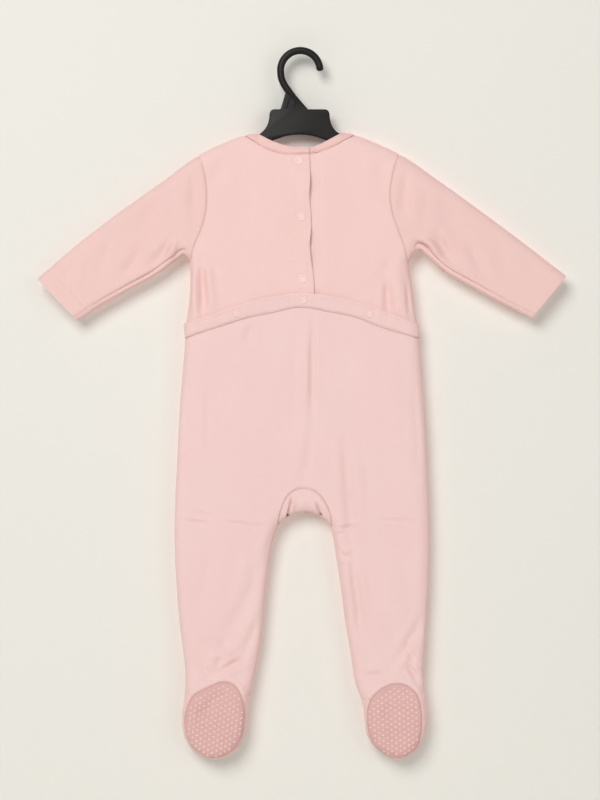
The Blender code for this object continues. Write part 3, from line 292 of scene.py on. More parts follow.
def edgeDistance(x, z):
    # distance to the nearest closed edge, and the way inward from it
    p = np.stack([x, z], axis=-1)
    k = np.array([edgeTree.find((u, v, 0.0))[1] for u, v in p], int)
    d0, off0, along0 = toSegment(p, edgePoints[edgeBefore[k]], edgePoints[k])
    d1, off1, along1 = toSegment(p, edgePoints[k], edgePoints[edgeAfter[k]])
    first = ((d0 <= d1) & (edgeBefore[k] != k)) | (edgeAfter[k] == k)
    d = np.where(first, d0, d1)
    off = np.where(first[:, None], off0, off1)
    along = np.where(first[:, None], along0, along1)
    way = off / np.maximum(d, 1e-9)[:, None]
    near = d < shape["onEdge"]
    if near.any():
        side = along[near] / np.maximum(np.linalg.norm(along[near], axis=1, keepdims=True), 1e-9)
        flat = np.stack([-side[:, 1], side[:, 0]], axis=-1)
        ahead = p[near] + flat * 2.0
        way[near] = flat * np.where(isInside(outline, ahead[:, 0], ahead[:, 1]), 1.0, -1.0)[:, None]
        d[near] = 0.0
    return d, way


def smooth(value, low, high):
    t = np.clip((value - low) / (high - low), 0, 1)
    return t * t * (3 - 2 * t)


def bell(value, half):
    return np.exp(-((value / half) ** 2))


def alongLine(x, z, x0, z0, x1, z1):
    # how far along a straight line a place lies, how far beside it, and the line's length
    length = math.hypot(x1 - x0, z1 - z0)
    ux, uz = (x1 - x0) / length, (z1 - z0) / length
    return (x - x0) * ux + (z - z0) * uz, (x - x0) * -uz + (z - z0) * ux, length


def turned(dx, dz, degrees):
    a = math.radians(degrees)
    return dx * math.cos(a) + dz * math.sin(a), dz * math.cos(a) - dx * math.sin(a)


def unit(rows, least=1e-9):
    return rows / np.maximum(np.linalg.norm(rows, axis=-1, keepdims=True), least)


def depths(x, z):
    # half the thickness of the hanging suit, and how far in its edges roll over
    arm = smooth(np.abs(x), 128.0, 165.0)
    foot = smooth(-z, 640.0, 690.0)
    height = shape["bodyDepth"] + (shape["sleeveDepth"] - shape["bodyDepth"]) * arm
    height = height + (shape["footDepth"] - shape["bodyDepth"]) * foot
    return height, shape["roll"] + (shape["footRoll"] - shape["roll"]) * np.maximum(arm, foot)


noiseTable = np.random.default_rng(41).uniform(-1, 1, (64, 64))


def softNoise(u, v):
    # smooth random waves, one to a unit, the same every run
    iu, iv = np.floor(u).astype(int), np.floor(v).astype(int)
    fu, fv = u - iu, v - iv
    fu, fv = fu * fu * fu * (fu * (6 * fu - 15) + 10), fv * fv * fv * (fv * (6 * fv - 15) + 10)
    a, b = noiseTable[iu % 64, iv % 64], noiseTable[(iu + 1) % 64, iv % 64]
    c, e = noiseTable[iu % 64, (iv + 1) % 64], noiseTable[(iu + 1) % 64, (iv + 1) % 64]
    return (a * (1 - fu) + b * fu) * (1 - fv) + (c * (1 - fu) + e * fu) * fv


# Soft folds: side, x0, z0, x1, z1, half width, height (a trough below 0), bow
folds = [
    # back of the body, left side
    (-1, -104.5, -214.0, -102.0, -281.0, 4.6, -3.4, 1.5), (-1, -112.0, -220.0, -111.5, -278.0, 4.0, 1.5, 0.5),
    (-1, -96.0, -222.0, -94.0, -268.0, 5.5, 0.8, 0.0), (-1, -100.0, -212.0, -84.0, -232.0, 6.0, -0.7, 2.0),
    # back of the body, right side
    (-1, 91.0, -238.0, 94.0, -276.0, 4.2, -2.3, -1.0), (-1, 101.0, -230.0, 107.0, -280.0, 6.0, 1.3, 0.0),
    (-1, 98.0, -212.0, 84.0, -244.0, 6.0, -0.8, -3.0), (-1, 112.0, -240.0, 115.0, -282.0, 3.0, -0.8, 0.0),
    # yoke: packing creases by the placket and soft hollows over the shoulders
    (-1, -15.0, -220.5, 5.0, -220.9, 1.6, -0.6, 0.4), (-1, -84.0, -112.0, -90.0, -134.0, 8.0, -0.9, 2.0),
    (-1, 84.0, -112.0, 90.0, -138.0, 8.0, -0.9, -2.0), (-1, -20.0, -126.0, -20.0, -196.0, 9.0, 0.5, 2.0),
    (-1, 40.0, -120.0, 62.0, -200.0, 14.0, -0.5, 4.0), (-1, -50.0, -128.0, -62.0, -230.0, 14.0, -0.45, -5.0),
    # seat
    (-1, 13.5, -268.0, 11.0, -398.0, 3.2, -1.3, 0.6), (-1, 3.0, -272.0, 3.5, -420.0, 6.0, 1.0, 0.8),
    (-1, 11.0, -396.0, 3.0, -452.0, 7.0, -1.3, 2.0), (-1, -52.0, -286.0, -56.0, -304.0, 4.5, -1.3, 0.0),
    (-1, -97.5, -342.0, -97.0, -418.0, 3.0, -1.0, 0.8), (-1, 69.0, -428.0, 71.0, -464.0, 3.0, -0.9, 0.4),
    (-1, -12.0, -330.0, -26.0, -440.0, 16.0, -0.7, 6.0), (-1, 44.0, -300.0, 58.0, -420.0, 16.0, -0.7, 5.0),
    (-1, -70.0, -300.0, -66.0, -380.0, 14.0, 0.6, 3.0), (-1, 96.0, -310.0, 104.0, -400.0, 12.0, 0.6, -4.0),
    (-1, 118.0, -330.0, 123.0, -470.0, 4.0, -0.7, 1.0), (-1, -117.0, -350.0, -121.0, -470.0, 4.0, -0.7, -1.0),
    # across both legs, where the suit was folded
    (-1, -124.0, -489.0, -92.0, -494.5, 2.4, -1.2, 0.6), (-1, -84.0, -490.0, -32.0, -498.5, 2.2, -1.2, 1.0),
    (-1, 36.0, -497.5, 66.0, -493.5, 2.2, -1.4, -0.8), (-1, 78.0, -489.5, 128.0, -491.5, 2.6, -0.8, 0.8),
    (-1, -112.0, -478.0, -94.0, -487.0, 2.6, -0.9, 0.0), (-1, 36.0, -505.0, 50.0, -500.0, 2.2, -1.0, 0.0),
    # right leg
    (-1, 46.0, -392.0, 54.0, -532.0, 5.4, -2.2, 1.0), (-1, 55.0, -520.0, 65.0, -622.0, 5.2, -2.1, -1.0),
    (-1, 40.0, -520.0, 50.0, -530.0, 2.6, -1.0, 0.0), (-1, 43.0, -528.0, 58.0, -524.0, 3.0, -0.9, 0.0),
    (-1, 126.0, -588.0, 104.0, -636.0, 6.0, -1.7, 3.0), (-1, 122.0, -606.0, 98.0, -650.0, 4.0, 1.1, 2.0),
    (-1, 90.0, -520.0, 98.0, -600.0, 12.0, 0.6, 3.0), (-1, 74.0, -560.0, 82.0, -640.0, 10.0, 0.7, 2.0),
    (-1, 112.0, -640.0, 124.0, -658.0, 3.6, -2.4, 0.8), (-1, 70.0, -650.0, 86.0, -653.0, 4.0, -1.6, 0.0),
    (-1, 112.0, -620.0, 122.0, -640.0, 4.0, -1.3, 0.0),
    # left leg
    (-1, -42.0, -528.0, -82.0, -616.0, 8.0, -1.7, 5.0), (-1, -56.0, -520.0, -60.0, -590.0, 9.0, 0.7, 2.0),
    (-1, -92.0, -520.0, -104.0, -600.0, 10.0, -0.8, -4.0), (-1, -46.0, -590.0, -62.0, -632.0, 5.0, -1.3, 2.0),
    (-1, -84.0, -648.0, -57.0, -634.0, 3.6, -2.6, 1.0), (-1, -96.0, -634.0, -66.0, -622.0, 5.0, 1.0, 1.5),
    (-1, -80.0, -612.0, -84.0, -650.0, 5.0, -1.2, -1.0), (-1, -108.0, -640.0, -92.0, -652.0, 4.0, -1.2, 0.0),
    # sleeves, seen from the back
    (-1, -136.0, -200.0, -158.0, -224.0, 6.0, -2.4, 2.0), (-1, -128.0, -196.0, -140.0, -212.0, 4.0, 1.3, 0.0),
    (-1, -166.0, -200.0, -188.0, -234.0, 6.0, -1.4, 3.0), (-1, -150.0, -150.0, -168.0, -190.0, 10.0, -0.8, 3),
    (-1, -114.0, -122.0, -110.0, -164.0, 5.0, -1.3, 1.0), (-1, -200.0, -196.0, -216.0, -236.0, 8.0, -0.7, 2),
    (-1, -126.0, -140.0, -120.0, -186.0, 7.0, 0.8, 1.0), (-1, -228.0, -222.0, -240.0, -250.0, 6.0, 0.5, 0.0),
    (-1, 140.0, -186.0, 164.0, -222.0, 6.0, -2.4, -2.0), (-1, 128.0, -192.0, 146.0, -212.0, 4.5, 1.4, 0.0),
    (-1, 118.0, -196.0, 138.0, -208.0, 3.6, -2.0, -1.0), (-1, 112.0, -124.0, 108.0, -170.0, 5.0, -1.1, -1.0),
    (-1, 176.0, -196.0, 196.0, -232.0, 6.0, -1.3, -2.0), (-1, 150.0, -150.0, 170.0, -186.0, 10.0, -0.8, -3.0),
    (-1, 206.0, -196.0, 222.0, -236.0, 8.0, -0.6, -2.0), (-1, 124.0, -140.0, 118.0, -184.0, 7.0, 0.8, -1.0),
    # front, never the mirror of the back
    (1, -100.0, -214.0, -95.0, -306.0, 6.0, -2.6, 2.0), (1, 92.0, -212.0, 96.0, -290.0, 5.6, -2.7, -2.0),
    (1, -86.0, -116.0, -96.0, -150.0, 8.0, -1.0, -2.0), (1, 84.0, -114.0, 94.0, -150.0, 8.0, -0.9, 2.0),
    (1, 5.0, -290.0, 8.0, -450.0, 5.0, -1.5, 2.0), (1, -8.0, -300.0, -6.0, -420.0, 8.0, 0.9, 1.0),
    (1, -40.0, -136.0, -58.0, -240.0, 14.0, -0.8, -4.0), (1, 36.0, -140.0, 60.0, -262.0, 14.0, -0.8, 4.0),
    (1, 0.0, -130.0, 2.0, -180.0, 9.0, -0.7, 1.0), (1, -70.0, -300.0, -60.0, -400.0, 12.0, -0.7, 4.0),
    (1, 70.0, -310.0, 66.0, -420.0, 12.0, -0.7, -4.0), (1, -122.0, -492.0, -40.0, -497.0, 2.4, -1.1, 1.4),
    (1, 40.0, -496.0, 130.0, -489.0, 2.4, -1.1, -1.0), (1, 2.0, -440.0, -24.0, -480.0, 5.0, -1.5, 2.0),
    (1, 8.0, -440.0, 32.0, -482.0, 5.0, -1.4, -2.0), (1, -58.0, -430.0, -66.0, -560.0, 7.0, -1.8, 3.0),
    (1, 64.0, -410.0, 74.0, -540.0, 7.0, -1.9, -3.0), (1, -104.0, -530.0, -84.0, -620.0, 8.0, -1.3, -4.0),
    (1, 112.0, -520.0, 92.0, -616.0, 8.0, -1.3, 4.0), (1, -112.0, -636.0, -66.0, -650.0, 4.0, -2.2, 1.0),
    (1, 70.0, -652.0, 122.0, -638.0, 4.0, -2.2, 1.0), (1, -72.0, -600.0, -56.0, -640.0, 6.0, -1.3, 1.0),
    (1, -138.0, -192.0, -164.0, -228.0, 6.0, -2.2, 2.0), (1, 142.0, -190.0, 170.0, -226.0, 6.0, -2.2, -2.0),
    (1, -118.0, -126.0, -112.0, -170.0, 6.0, -1.3, 1.0), (1, 114.0, -126.0, 110.0, -170.0, 6.0, -1.3, -1.0),
    (1, -176.0, -196.0, -198.0, -238.0, 7.0, -1.3, 2.0), (1, 180.0, -194.0, 204.0, -236.0, 7.0, -1.3, -2.0),
    (1, -96.0, -690.0, -70.0, -700.0, 5.0, -1.4, 1.0), (1, 84.0, -700.0, 116.0, -690.0, 5.0, -1.4, 1.0),
]

# Patches of small uneven wrinkles: side, x, z, half wide, half high, turn, wave length, height
wrinkles = [
    (-1, -128.0, -206.0, 26.0, 18.0, 50.0, 9.0, 0.75), (-1, 130.0, -202.0, 26.0, 18.0, -50.0, 9.0, 0.75),
    (-1, -108.0, -240.0, 14.0, 40.0, 88.0, 8.0, 0.5), (-1, 106.0, -246.0, 16.0, 36.0, 92.0, 8.0, 0.5),
    (-1, -84.0, -634.0, 34.0, 26.0, 24.0, 11.0, 0.8), (-1, 96.0, -636.0, 36.0, 26.0, -26.0, 11.0, 0.8),
    (-1, 4.0, -470.0, 34.0, 22.0, 80.0, 8.0, 0.45), (-1, -46.0, -510.0, 20.0, 24.0, 70.0, 9.0, 0.5),
    (-1, 48.0, -508.0, 18.0, 26.0, 110.0, 9.0, 0.6), (-1, 4.0, -340.0, 110.0, 60.0, 84.0, 34.0, 0.5),
    (-1, 0.0, -180.0, 90.0, 60.0, 96.0, 30.0, 0.35), (-1, -86.0, -570.0, 40.0, 70.0, 74.0, 26.0, 0.6),
    (-1, 92.0, -570.0, 40.0, 70.0, 102.0, 26.0, 0.6), (-1, -200.0, -216.0, 60.0, 34.0, 62.0, 22.0, 0.55),
    (-1, 200.0, -214.0, 60.0, 34.0, -62.0, 22.0, 0.55), (-1, -90.0, -700.0, 34.0, 38.0, 30.0, 18.0, 0.8),
    (-1, 100.0, -700.0, 34.0, 38.0, -20.0, 18.0, 0.8),
    (1, -128.0, -206.0, 28.0, 20.0, 50.0, 9.0, 0.8), (1, 130.0, -202.0, 28.0, 20.0, -50.0, 9.0, 0.8),
    (1, 0.0, -300.0, 110.0, 160.0, 86.0, 32.0, 0.6), (1, -86.0, -570.0, 40.0, 80.0, 76.0, 24.0, 0.7),
    (1, 92.0, -570.0, 40.0, 80.0, 100.0, 24.0, 0.7), (1, -90.0, -690.0, 36.0, 50.0, 20.0, 14.0, 0.9),
    (1, 100.0, -690.0, 36.0, 50.0, -20.0, 14.0, 0.9), (1, -200.0, -216.0, 60.0, 34.0, 62.0, 22.0, 0.6),
    (1, 200.0, -214.0, 60.0, 34.0, -62.0, 22.0, 0.6), (1, 4.0, -470.0, 40.0, 26.0, 84.0, 9.0, 0.6),
]


relief = {
    "folds": 1.35,
    "wrinkles": 1.15,
    "stretch": 4.5,        # a wrinkle is this many times as long as it is wide
    "besideFold": 0.3,     # the cloth beside a fold swells the other way by this share
    "grain": 0.07,         # the small unevenness of washed cloth
}
# worn: the half width of the painted shade along a seam
seamLook = {"groove": 0.95, "hollow": 3.5, "hollowShare": 0.1, "pucker": 6.5, "worn": 1.3}


def foldHeight(x, z, side):
    total = np.zeros_like(x)
    for face, x0, z0, x1, z1, half, height, bow in folds:
        along, off, length = alongLine(x, z, x0, z0, x1, z1)
        share = along / length
        off = off - bow * np.sin(np.pi * np.clip(share, 0, 1))
        off = off + 0.25 * half * softNoise(along / 16.0 + x0, 0.5 + 0 * along)
        ends = smooth(along, -half, length * 0.35) * (1 - smooth(along, length * 0.6, length + half))
        wide = half * (0.75 + 0.35 * share)
        t = off / np.clip(wide, half * 0.5, half * 1.4)
        form = bell(t, 1.0) - relief["besideFold"] * bell(np.abs(t) - 1.9, 0.9)
        total += np.where(side == face, relief["folds"] * height * ends * form, 0)
    for face, cx, cz, wide, high, turn, wave, height in wrinkles:
        u, v = turned(x - cx, z - cz, turn)
        u, v = u / (relief["stretch"] * wave), v / wave
        window = bell(x - cx, wide) * bell(z - cz, high)
        wander = softNoise(u * 2.0 + cz, v * 0.3 + cx)
        bumps = softNoise(u + cx, v + 0.7 * wander + cz)
        total += np.where(side == face, relief["wrinkles"] * height * window * bumps, 0)
    return total


def nearCurve(curve, x, z, reach=14.0):
    # distance to a curve and the run along it in mm, worked out only within reach
    far = np.full(len(x), 1e3)
    run = np.zeros(len(x))
    lo, hi = curve.path.min(0) - reach, curve.path.max(0) + reach
    inBox = np.flatnonzero((x > lo[0]) & (x < hi[0]) & (z > lo[1]) & (z < hi[1]))
    for start in range(0, len(inBox), 2000):
        rows = inBox[start : start + 2000]
        gap = np.hypot(x[rows, None] - curve.path[None, :, 0], z[rows, None] - curve.path[None, :, 1])
        k = gap.argmin(axis=1)
        p = np.stack([x[rows], z[rows]], axis=-1)
        prev, after = np.maximum(k - 1, 0), np.minimum(k + 1, len(curve.path) - 1)
        d0 = toSegment(p, curve.path[prev], curve.path[k])[0]
        d1 = toSegment(p, curve.path[k], curve.path[after])[0]
        far[rows] = np.minimum(np.minimum(d0, d1), gap[np.arange(len(rows)), k])
        run[rows] = curve.run[k] * curve.length
    return far, run


def clothPoint(piece, x, z, side, extra=0.0):
    # a place on the piece's outer face, in mm, with the way it faces and its painted seam shade
    d, inward = edgeDistance(x, z)
    height, roll = depths(x, z)
    c = 1 - np.minimum(d / roll, 1)
    s = np.sqrt(1 - c * c)
    size = np.hypot(height * c, roll * s)
    face = np.stack([-inward[:, 0] * height * c, side * roll * s, -inward[:, 1] * height * c], axis=-1)
    face = face / size[:, None]
    rise = height * s + (0.0 if piece.get("wraps") else 0.06)
    full = extra + foldHeight(x, z, side) * smooth(d, 0.0, 6.0)
    full = full + relief["grain"] * softNoise(x / 3.6 + 9.1, z / 4.8) * smooth(d, 0.0, 3.0)
    if "lift" in piece:
        full = full + piece["lift"](x, z, side)
    wear = np.zeros(len(x))
    for curve, dip, pucker in piece.get("seams", []):
        far, run = nearCurve(curve, x, z)
        full = full - dip * bell(far, seamLook["groove"])
        full = full - seamLook["hollowShare"] * dip * bell(far, seamLook["hollow"])
        full = full + pucker * bell(far, seamLook["pucker"]) * softNoise(run / 4.2 + 3.3, 0.4 + far / 9.0)
        # painted shade: a narrow band along each seam groove, which the knit material darkens the colour by
        wear = np.maximum(wear, piece.get("wear", 1.0) * bell(far, seamLook["worn"]))
    spot = np.stack([x, side * rise, z], axis=-1) + face * full[:, None]
    spot[:, 1] += piece.get("shift", 0.0)
    return spot, face, wear


def activate(obj):
    bpy.ops.object.select_all(action="DESELECT")
    obj.select_set(True)
    bpy.context.view_layer.objects.active = obj


def finishObject(obj, angle=50.0):
    activate(obj)
    for modifier in list(obj.modifiers):
        bpy.ops.object.modifier_apply(modifier=modifier.name)
    bpy.ops.object.shade_smooth_by_angle(angle=math.radians(angle))
    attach(obj, "root")
    return obj


def faceOutward(obj):
    activate(obj)
    bpy.ops.object.mode_set(mode="EDIT")
    bpy.ops.mesh.select_all(action="SELECT")
    bpy.ops.mesh.normals_make_consistent(inside=False)
    bpy.ops.object.mode_set(mode="OBJECT")


def takeShape(obj):
    # a small model's points and faces, for setting many times
    verts = np.array([v.co[:] for v in obj.data.vertices])
    faces = [tuple(p.vertices) for p in obj.data.polygons]
    bpy.data.objects.remove(obj, do_unlink=True)
    return verts, faces


def makeMesh(name, points, faces, material):
    mesh = bpy.data.meshes.new(name)
    mesh.from_pydata([tuple(p) for p in points], [], faces)
    mesh.materials.append(material)
    obj = bpy.data.objects.new(name, mesh)
    bpy.context.scene.collection.objects.link(obj)
    return obj


def finer(shares, times):
    # stations with each gap split into the same number of steps
    n = (len(shares) - 1) * times + 1
    return np.interp(np.arange(n) / times, np.arange(len(shares)), shares)


def sewPiece(name, piece, grids, material):
    # one piece of cloth from its grids, with its thickness and its own flat pattern as UV
    spots, quads, base = [], [], 0
    for points, sides, extra in grids:
        rows, cols = points.shape[:2]
        parts = [points[..., 0], points[..., 1], np.broadcast_to(sides, (rows, cols)),
                 np.broadcast_to(extra, (rows, cols))]
        spots.append(np.stack(parts, axis=-1).reshape(-1, 4))
        ids = base + np.arange(rows * cols).reshape(rows, cols)
        quads.append(np.stack([ids[:-1, :-1], ids[1:, :-1], ids[1:, 1:], ids[:-1, 1:]], -1).reshape(-1, 4))
        base += rows * cols
    spots = np.vstack(spots)
    first, inverse = np.unique(np.round(spots, 3), axis=0, return_index=True, return_inverse=True)[1:]
    quads = inverse.reshape(-1)[np.vstack(quads)]
    x, z, side, extra = spots[first].T
    point, face, wear = clothPoint(piece, x, z, side, extra)
    a, b, c, e = (point[quads[:, k]] for k in range(4))
    flip = np.einsum("ij,ij->i", np.cross(c - a, e - b), face[quads].mean(axis=1)) < 0
    quads[flip] = quads[flip][:, ::-1]
    rings = []
    for quad in quads.tolist():
        ring = [p for p, q in zip(quad, quad[1:] + quad[:1]) if p != q]
        if len(ring) > 2 and len(set(ring)) == len(ring):
            rings.append(ring)
    obj = makeMesh(name, point * mm, rings, material)
    flat = np.stack(turned(x, z, piece.get("grain", 0.0)), axis=-1) * mm
    corner = np.zeros(len(obj.data.loops), int)
    obj.data.loops.foreach_get("vertex_index", corner)
    obj.data.uv_layers.new(name="flatPattern").data.foreach_set("uv", flat[corner].astype(np.float32).ravel())
    # painted seam shade, kept on the mesh for the knit material
    obj.data.attributes.new("paintedSeamShade", "FLOAT", "POINT").data.foreach_set("value", wear.astype(np.float32))
    area = sum(p.area for p in obj.data.polygons)
    wall = obj.modifiers.new("ply", "SOLIDIFY")
    wall.thickness = piece["ply"] * mm
    wall.offset = -1.0
    wall.use_even_offset = False
    finishObject(obj)
    print("sewn", name, len(obj.data.polygons), "faces, cloth", round(area, 5), "m2",
          "cut about", [round(float(np.ptp(v)) * mm, 3) for v in (x, z)])
    return obj


stitch = {"every": 2.7, "long": 1.9, "radius": 0.19}


def threadRow(name, piece, path, side, extra=0.0):
    # a row of short stitches laid on a piece's face along a path
    count = max(1, int(path.length / stitch["every"]))
    middles = (np.arange(count) + 0.5) * path.length / count
    steps = np.linspace(-0.5, 0.5, 5)
    shares = (middles[:, None] + steps[None] * stitch["long"]) / path.length
    flat = path.at(shares.ravel())
    spot, face, _ = clothPoint(piece, flat[:, 0], flat[:, 1], np.full(len(flat), float(side)), extra)
    radius = stitch["radius"]
    hump = np.tile(radius * np.array([-0.9, 0.35, 0.6, 0.35, -0.9]), len(middles))
    spot = spot + face * hump[:, None]
    spot, face = spot.reshape(-1, 5, 3), face.reshape(-1, 5, 3)
    cross = unit(np.cross(unit(spot[:, -1:] - spot[:, :1]), face))
    angles = np.arange(6) / 6 * math.tau
    ring = (cross[:, :, None] * np.cos(angles)[None, None, :, None]
            + face[:, :, None] * np.sin(angles)[None, None, :, None]) * radius
    points = (spot[:, :, None] + ring).reshape(-1, 3)
    faces = []
    for i in range(len(middles)):
        o = i * 30
        for r in range(4):
            for k in range(6):
                m = (k + 1) % 6
                faces.append((o + r * 6 + k, o + r * 6 + 6 + k, o + r * 6 + 6 + m, o + r * 6 + m))
        faces += [tuple(o + k for k in range(6)), tuple(o + 24 + k for k in range(5, -1, -1))]
    obj = makeMesh(name, points * mm, faces, threadPink)
    faceOutward(obj)
    return finishObject(obj, 80.0)


def beside(path, distance):
    # the same path shifted sideways
    ahead = unit(np.gradient(path.path, axis=0))
    return Path(path.path + np.stack([-ahead[:, 1], ahead[:, 0]], axis=-1) * distance)


# materials
def nodeMaker(tree):
    def make(kind, x, y, **inputs):
        node = tree.nodes.new(kind)
        node.location = (x, y)
        for key, value in inputs.items():
            setattr(node, key, value)
        return node
    return make


def mathNode(tree, operation, a, b=None, x=0, y=0):
    node = tree.nodes.new("ShaderNodeMath")
    node.operation = operation
    node.location = (x, y)
    for slot, value in enumerate((a, b)):
        if value is None:
            continue
        if isinstance(value, (int, float)):
            node.inputs[slot].default_value = value
        else:
            tree.links.new(value, node.inputs[slot])
    return node.outputs[0]


def noiseNode(tree, coord, scale, detail=2.0, x=0, y=0):
    # noise that sits still on the piece
    noise = tree.nodes.new("ShaderNodeTexNoise")
    noise.location = (x, y)
    noise.inputs["Scale"].default_value = scale
    noise.inputs["Detail"].default_value = detail
    tree.links.new(coord.outputs["Object"], noise.inputs["Vector"])
    return noise


def mixNode(tree, share, first, second):
    mix = tree.nodes.new("ShaderNodeMix")
    mix.data_type = "RGBA"
    mix.inputs["A"].default_value = (*first, 1)
    mix.inputs["B"].default_value = (*second, 1)
    tree.links.new(share, mix.inputs["Factor"])
    return mix.outputs["Result"]


def bumpNode(tree, height, strength, distance, shader):
    raised = tree.nodes.new("ShaderNodeBump")
    raised.inputs["Strength"].default_value = strength
    raised.inputs["Distance"].default_value = distance
    tree.links.new(height, raised.inputs["Height"])
    tree.links.new(raised.outputs["Normal"], shader.inputs["Normal"])


def startMaterial(name, **sockets):
    material = bpy.data.materials.new(name)
    material.use_nodes = True
    shader = material.node_tree.nodes["Principled BSDF"]
    for socket, value in sockets.items():
        shader.inputs[socket.replace("_", " ")].default_value = value
    return material, material.node_tree, shader


def knitGroup():
    # fine upright ribs of a double knit, with its loops, fuzz and slow changes of tone, and painted shade in
    # the rib troughs and along seams
    group = bpy.data.node_groups.new("doubleKnit", "ShaderNodeTree")
    face = group.interface
    for name, kind, value in (("Tone", "NodeSocketColor", (0.8, 0.6, 0.55, 1)),
                              ("Pale Tone", "NodeSocketColor", (0.85, 0.65, 0.6, 1)),
                              ("Ribs per Metre", "NodeSocketFloat", 1000.0),
                              ("Blotch", "NodeSocketFloat", 0.5)):
        face.new_socket(name=name, in_out="INPUT", socket_type=kind).default_value = value
    face.new_socket(name="Color", in_out="OUTPUT", socket_type="NodeSocketColor")
    face.new_socket(name="Height", in_out="OUTPUT", socket_type="NodeSocketFloat")
    make = nodeMaker(group)
    given, out = make("NodeGroupInput", -1400, 0), make("NodeGroupOutput", 700, 0)
    uv = make("ShaderNodeUVMap", -1400, 300, uv_map="flatPattern")
    coord = make("ShaderNodeTexCoord", -1400, -300)
    split = make("ShaderNodeSeparateXYZ", -1200, 300)
    link = group.links.new
    link(uv.outputs["UV"], split.inputs[0])
    ribs = mathNode(group, "MULTIPLY", split.outputs["X"], given.outputs["Ribs per Metre"], -1000, 300)
    rows = mathNode(group, "MULTIPLY", split.outputs["Y"], given.outputs["Ribs per Metre"], -1000, 150)
    rib = mathNode(group, "ABSOLUTE", mathNode(group, "SINE", mathNode(group, "MULTIPLY", ribs, math.pi)))
    halfStep = mathNode(group, "MULTIPLY", mathNode(group, "FLOOR", ribs), 0.5)
    loopTurn = mathNode(group, "MULTIPLY", mathNode(group, "ADD", rows, halfStep), math.tau)
    loops = mathNode(group, "MULTIPLY", mathNode(group, "SINE", loopTurn), 0.22)
    knit = mathNode(group, "MULTIPLY", rib, mathNode(group, "ADD", loops, 0.78))
    fuzz = noiseNode(group, coord, 1700.0, 3.0, -900, -200)
    height = mathNode(group, "ADD", knit, mathNode(group, "MULTIPLY", fuzz.outputs["Fac"], 0.9))
    slow = noiseNode(group, coord, 14.0, 4.0, -900, -420)
    slow.inputs["Roughness"].default_value = 0.6
    flecks = noiseNode(group, coord, 420.0, 2.0, -900, -640)
    # painted shade: the colour darkens along seam grooves by the stored seam shade
    seam = make("ShaderNodeAttribute", -900, -860, attribute_name="paintedSeamShade", attribute_type="GEOMETRY")
    blotch = mathNode(group, "SUBTRACT", slow.outputs["Fac"], 0.5)
    blotch = mathNode(group, "MULTIPLY", blotch, given.outputs["Blotch"])
    fleck = mathNode(group, "MULTIPLY", mathNode(group, "SUBTRACT", flecks.outputs["Fac"], 0.5), 0.35)
    # painted shade: the colour darkens in the troughs between the ribs
    ribGrooveShade = mathNode(group, "MULTIPLY", mathNode(group, "SUBTRACT", rib, 0.64), 0.25)
    share = mathNode(group, "ADD", mathNode(group, "ADD", blotch, fleck), ribGrooveShade)
    share = mathNode(group, "ADD", share, 0.5)
    share = mathNode(group, "SUBTRACT", share, mathNode(group, "MULTIPLY", seam.outputs["Fac"], 0.8))
    mix = make("ShaderNodeMix", 300, 100, data_type="RGBA", clamp_factor=True)
    link(share, mix.inputs["Factor"])
    link(given.outputs["Tone"], mix.inputs["A"])
    link(given.outputs["Pale Tone"], mix.inputs["B"])
    link(mix.outputs["Result"], out.inputs["Color"])
    link(height, out.inputs["Height"])
    return group


doubleKnit = knitGroup()


def clothMaterial(name, tone, pale, ribs, bump, blotch=0.5):
    material, tree, shader = startMaterial(name, Roughness=0.92, Sheen_Weight=0.25, Sheen_Roughness=0.55,
                                           Sheen_Tint=(*pale, 1), Specular_IOR_Level=0.2)
    knit = tree.nodes.new("ShaderNodeGroup")
    knit.node_tree = doubleKnit
    knit.location = (-500, 0)
    knit.inputs["Tone"].default_value = (*tone, 1)
    knit.inputs["Pale Tone"].default_value = (*pale, 1)
    knit.inputs["Ribs per Metre"].default_value = ribs
    knit.inputs["Blotch"].default_value = blotch
    tree.links.new(knit.outputs["Color"], shader.inputs["Base Color"])
    bumpNode(tree, knit.outputs["Height"], bump, 0.0002, shader)
    return material


def plainMaterial(name, colour, roughness, grainScale, grainBump, specular=0.5, vary=0.12):
    # moulded or twisted stuff: a fine grain, and a tone that changes a little
    material, tree, shader = startMaterial(name, Specular_IOR_Level=specular)
    coord = tree.nodes.new("ShaderNodeTexCoord")
    grain = noiseNode(tree, coord, grainScale, 3.0)
    slow = noiseNode(tree, coord, 35.0, 3.0)
    dark, pale = [c * (1 - vary) for c in colour], [min(1.0, c * (1 + vary)) for c in colour]
    tree.links.new(mixNode(tree, slow.outputs["Fac"], dark, pale), shader.inputs["Base Color"])
    rough = mathNode(tree, "ADD", mathNode(tree, "MULTIPLY", slow.outputs["Fac"], 0.2), roughness - 0.1)
    tree.links.new(rough, shader.inputs["Roughness"])
    bumpNode(tree, grain.outputs["Fac"], grainBump, 0.0001, shader)
    return material


bodyPink = clothMaterial("bodyPink", (0.785, 0.534, 0.512), (0.842, 0.602, 0.582), 1000.0, 0.35)
sleevePink = clothMaterial("sleevePink", (0.76, 0.511, 0.486), (0.815, 0.578, 0.556), 1000.0, 0.35)
seatPink = clothMaterial("seatPink", (0.776, 0.539, 0.525), (0.832, 0.608, 0.597), 1000.0, 0.35)
bindingPink = clothMaterial("bindingPink", (0.767, 0.505, 0.478), (0.823, 0.567, 0.538), 1200.0, 0.45, 0.3)
solePink = clothMaterial("solePink", (0.624, 0.366, 0.348), (0.728, 0.466, 0.45), 900.0, 0.5, 0.6)
threadPink = plainMaterial("threadPink", (0.81, 0.55, 0.525), 0.6, 3000.0, 0.4)
snapPink = plainMaterial("snapPink", (0.835, 0.60, 0.575), 0.42, 600.0, 0.15, 0.5, 0.05)
gripPink = plainMaterial("gripPink", (0.84, 0.60, 0.57), 0.5, 800.0, 0.2, 0.4, 0.05)
hangerBlack = plainMaterial("hangerBlack", (0.010, 0.009, 0.009), 0.42, 900.0, 0.3, 0.2, 0.25)
print("materials made")

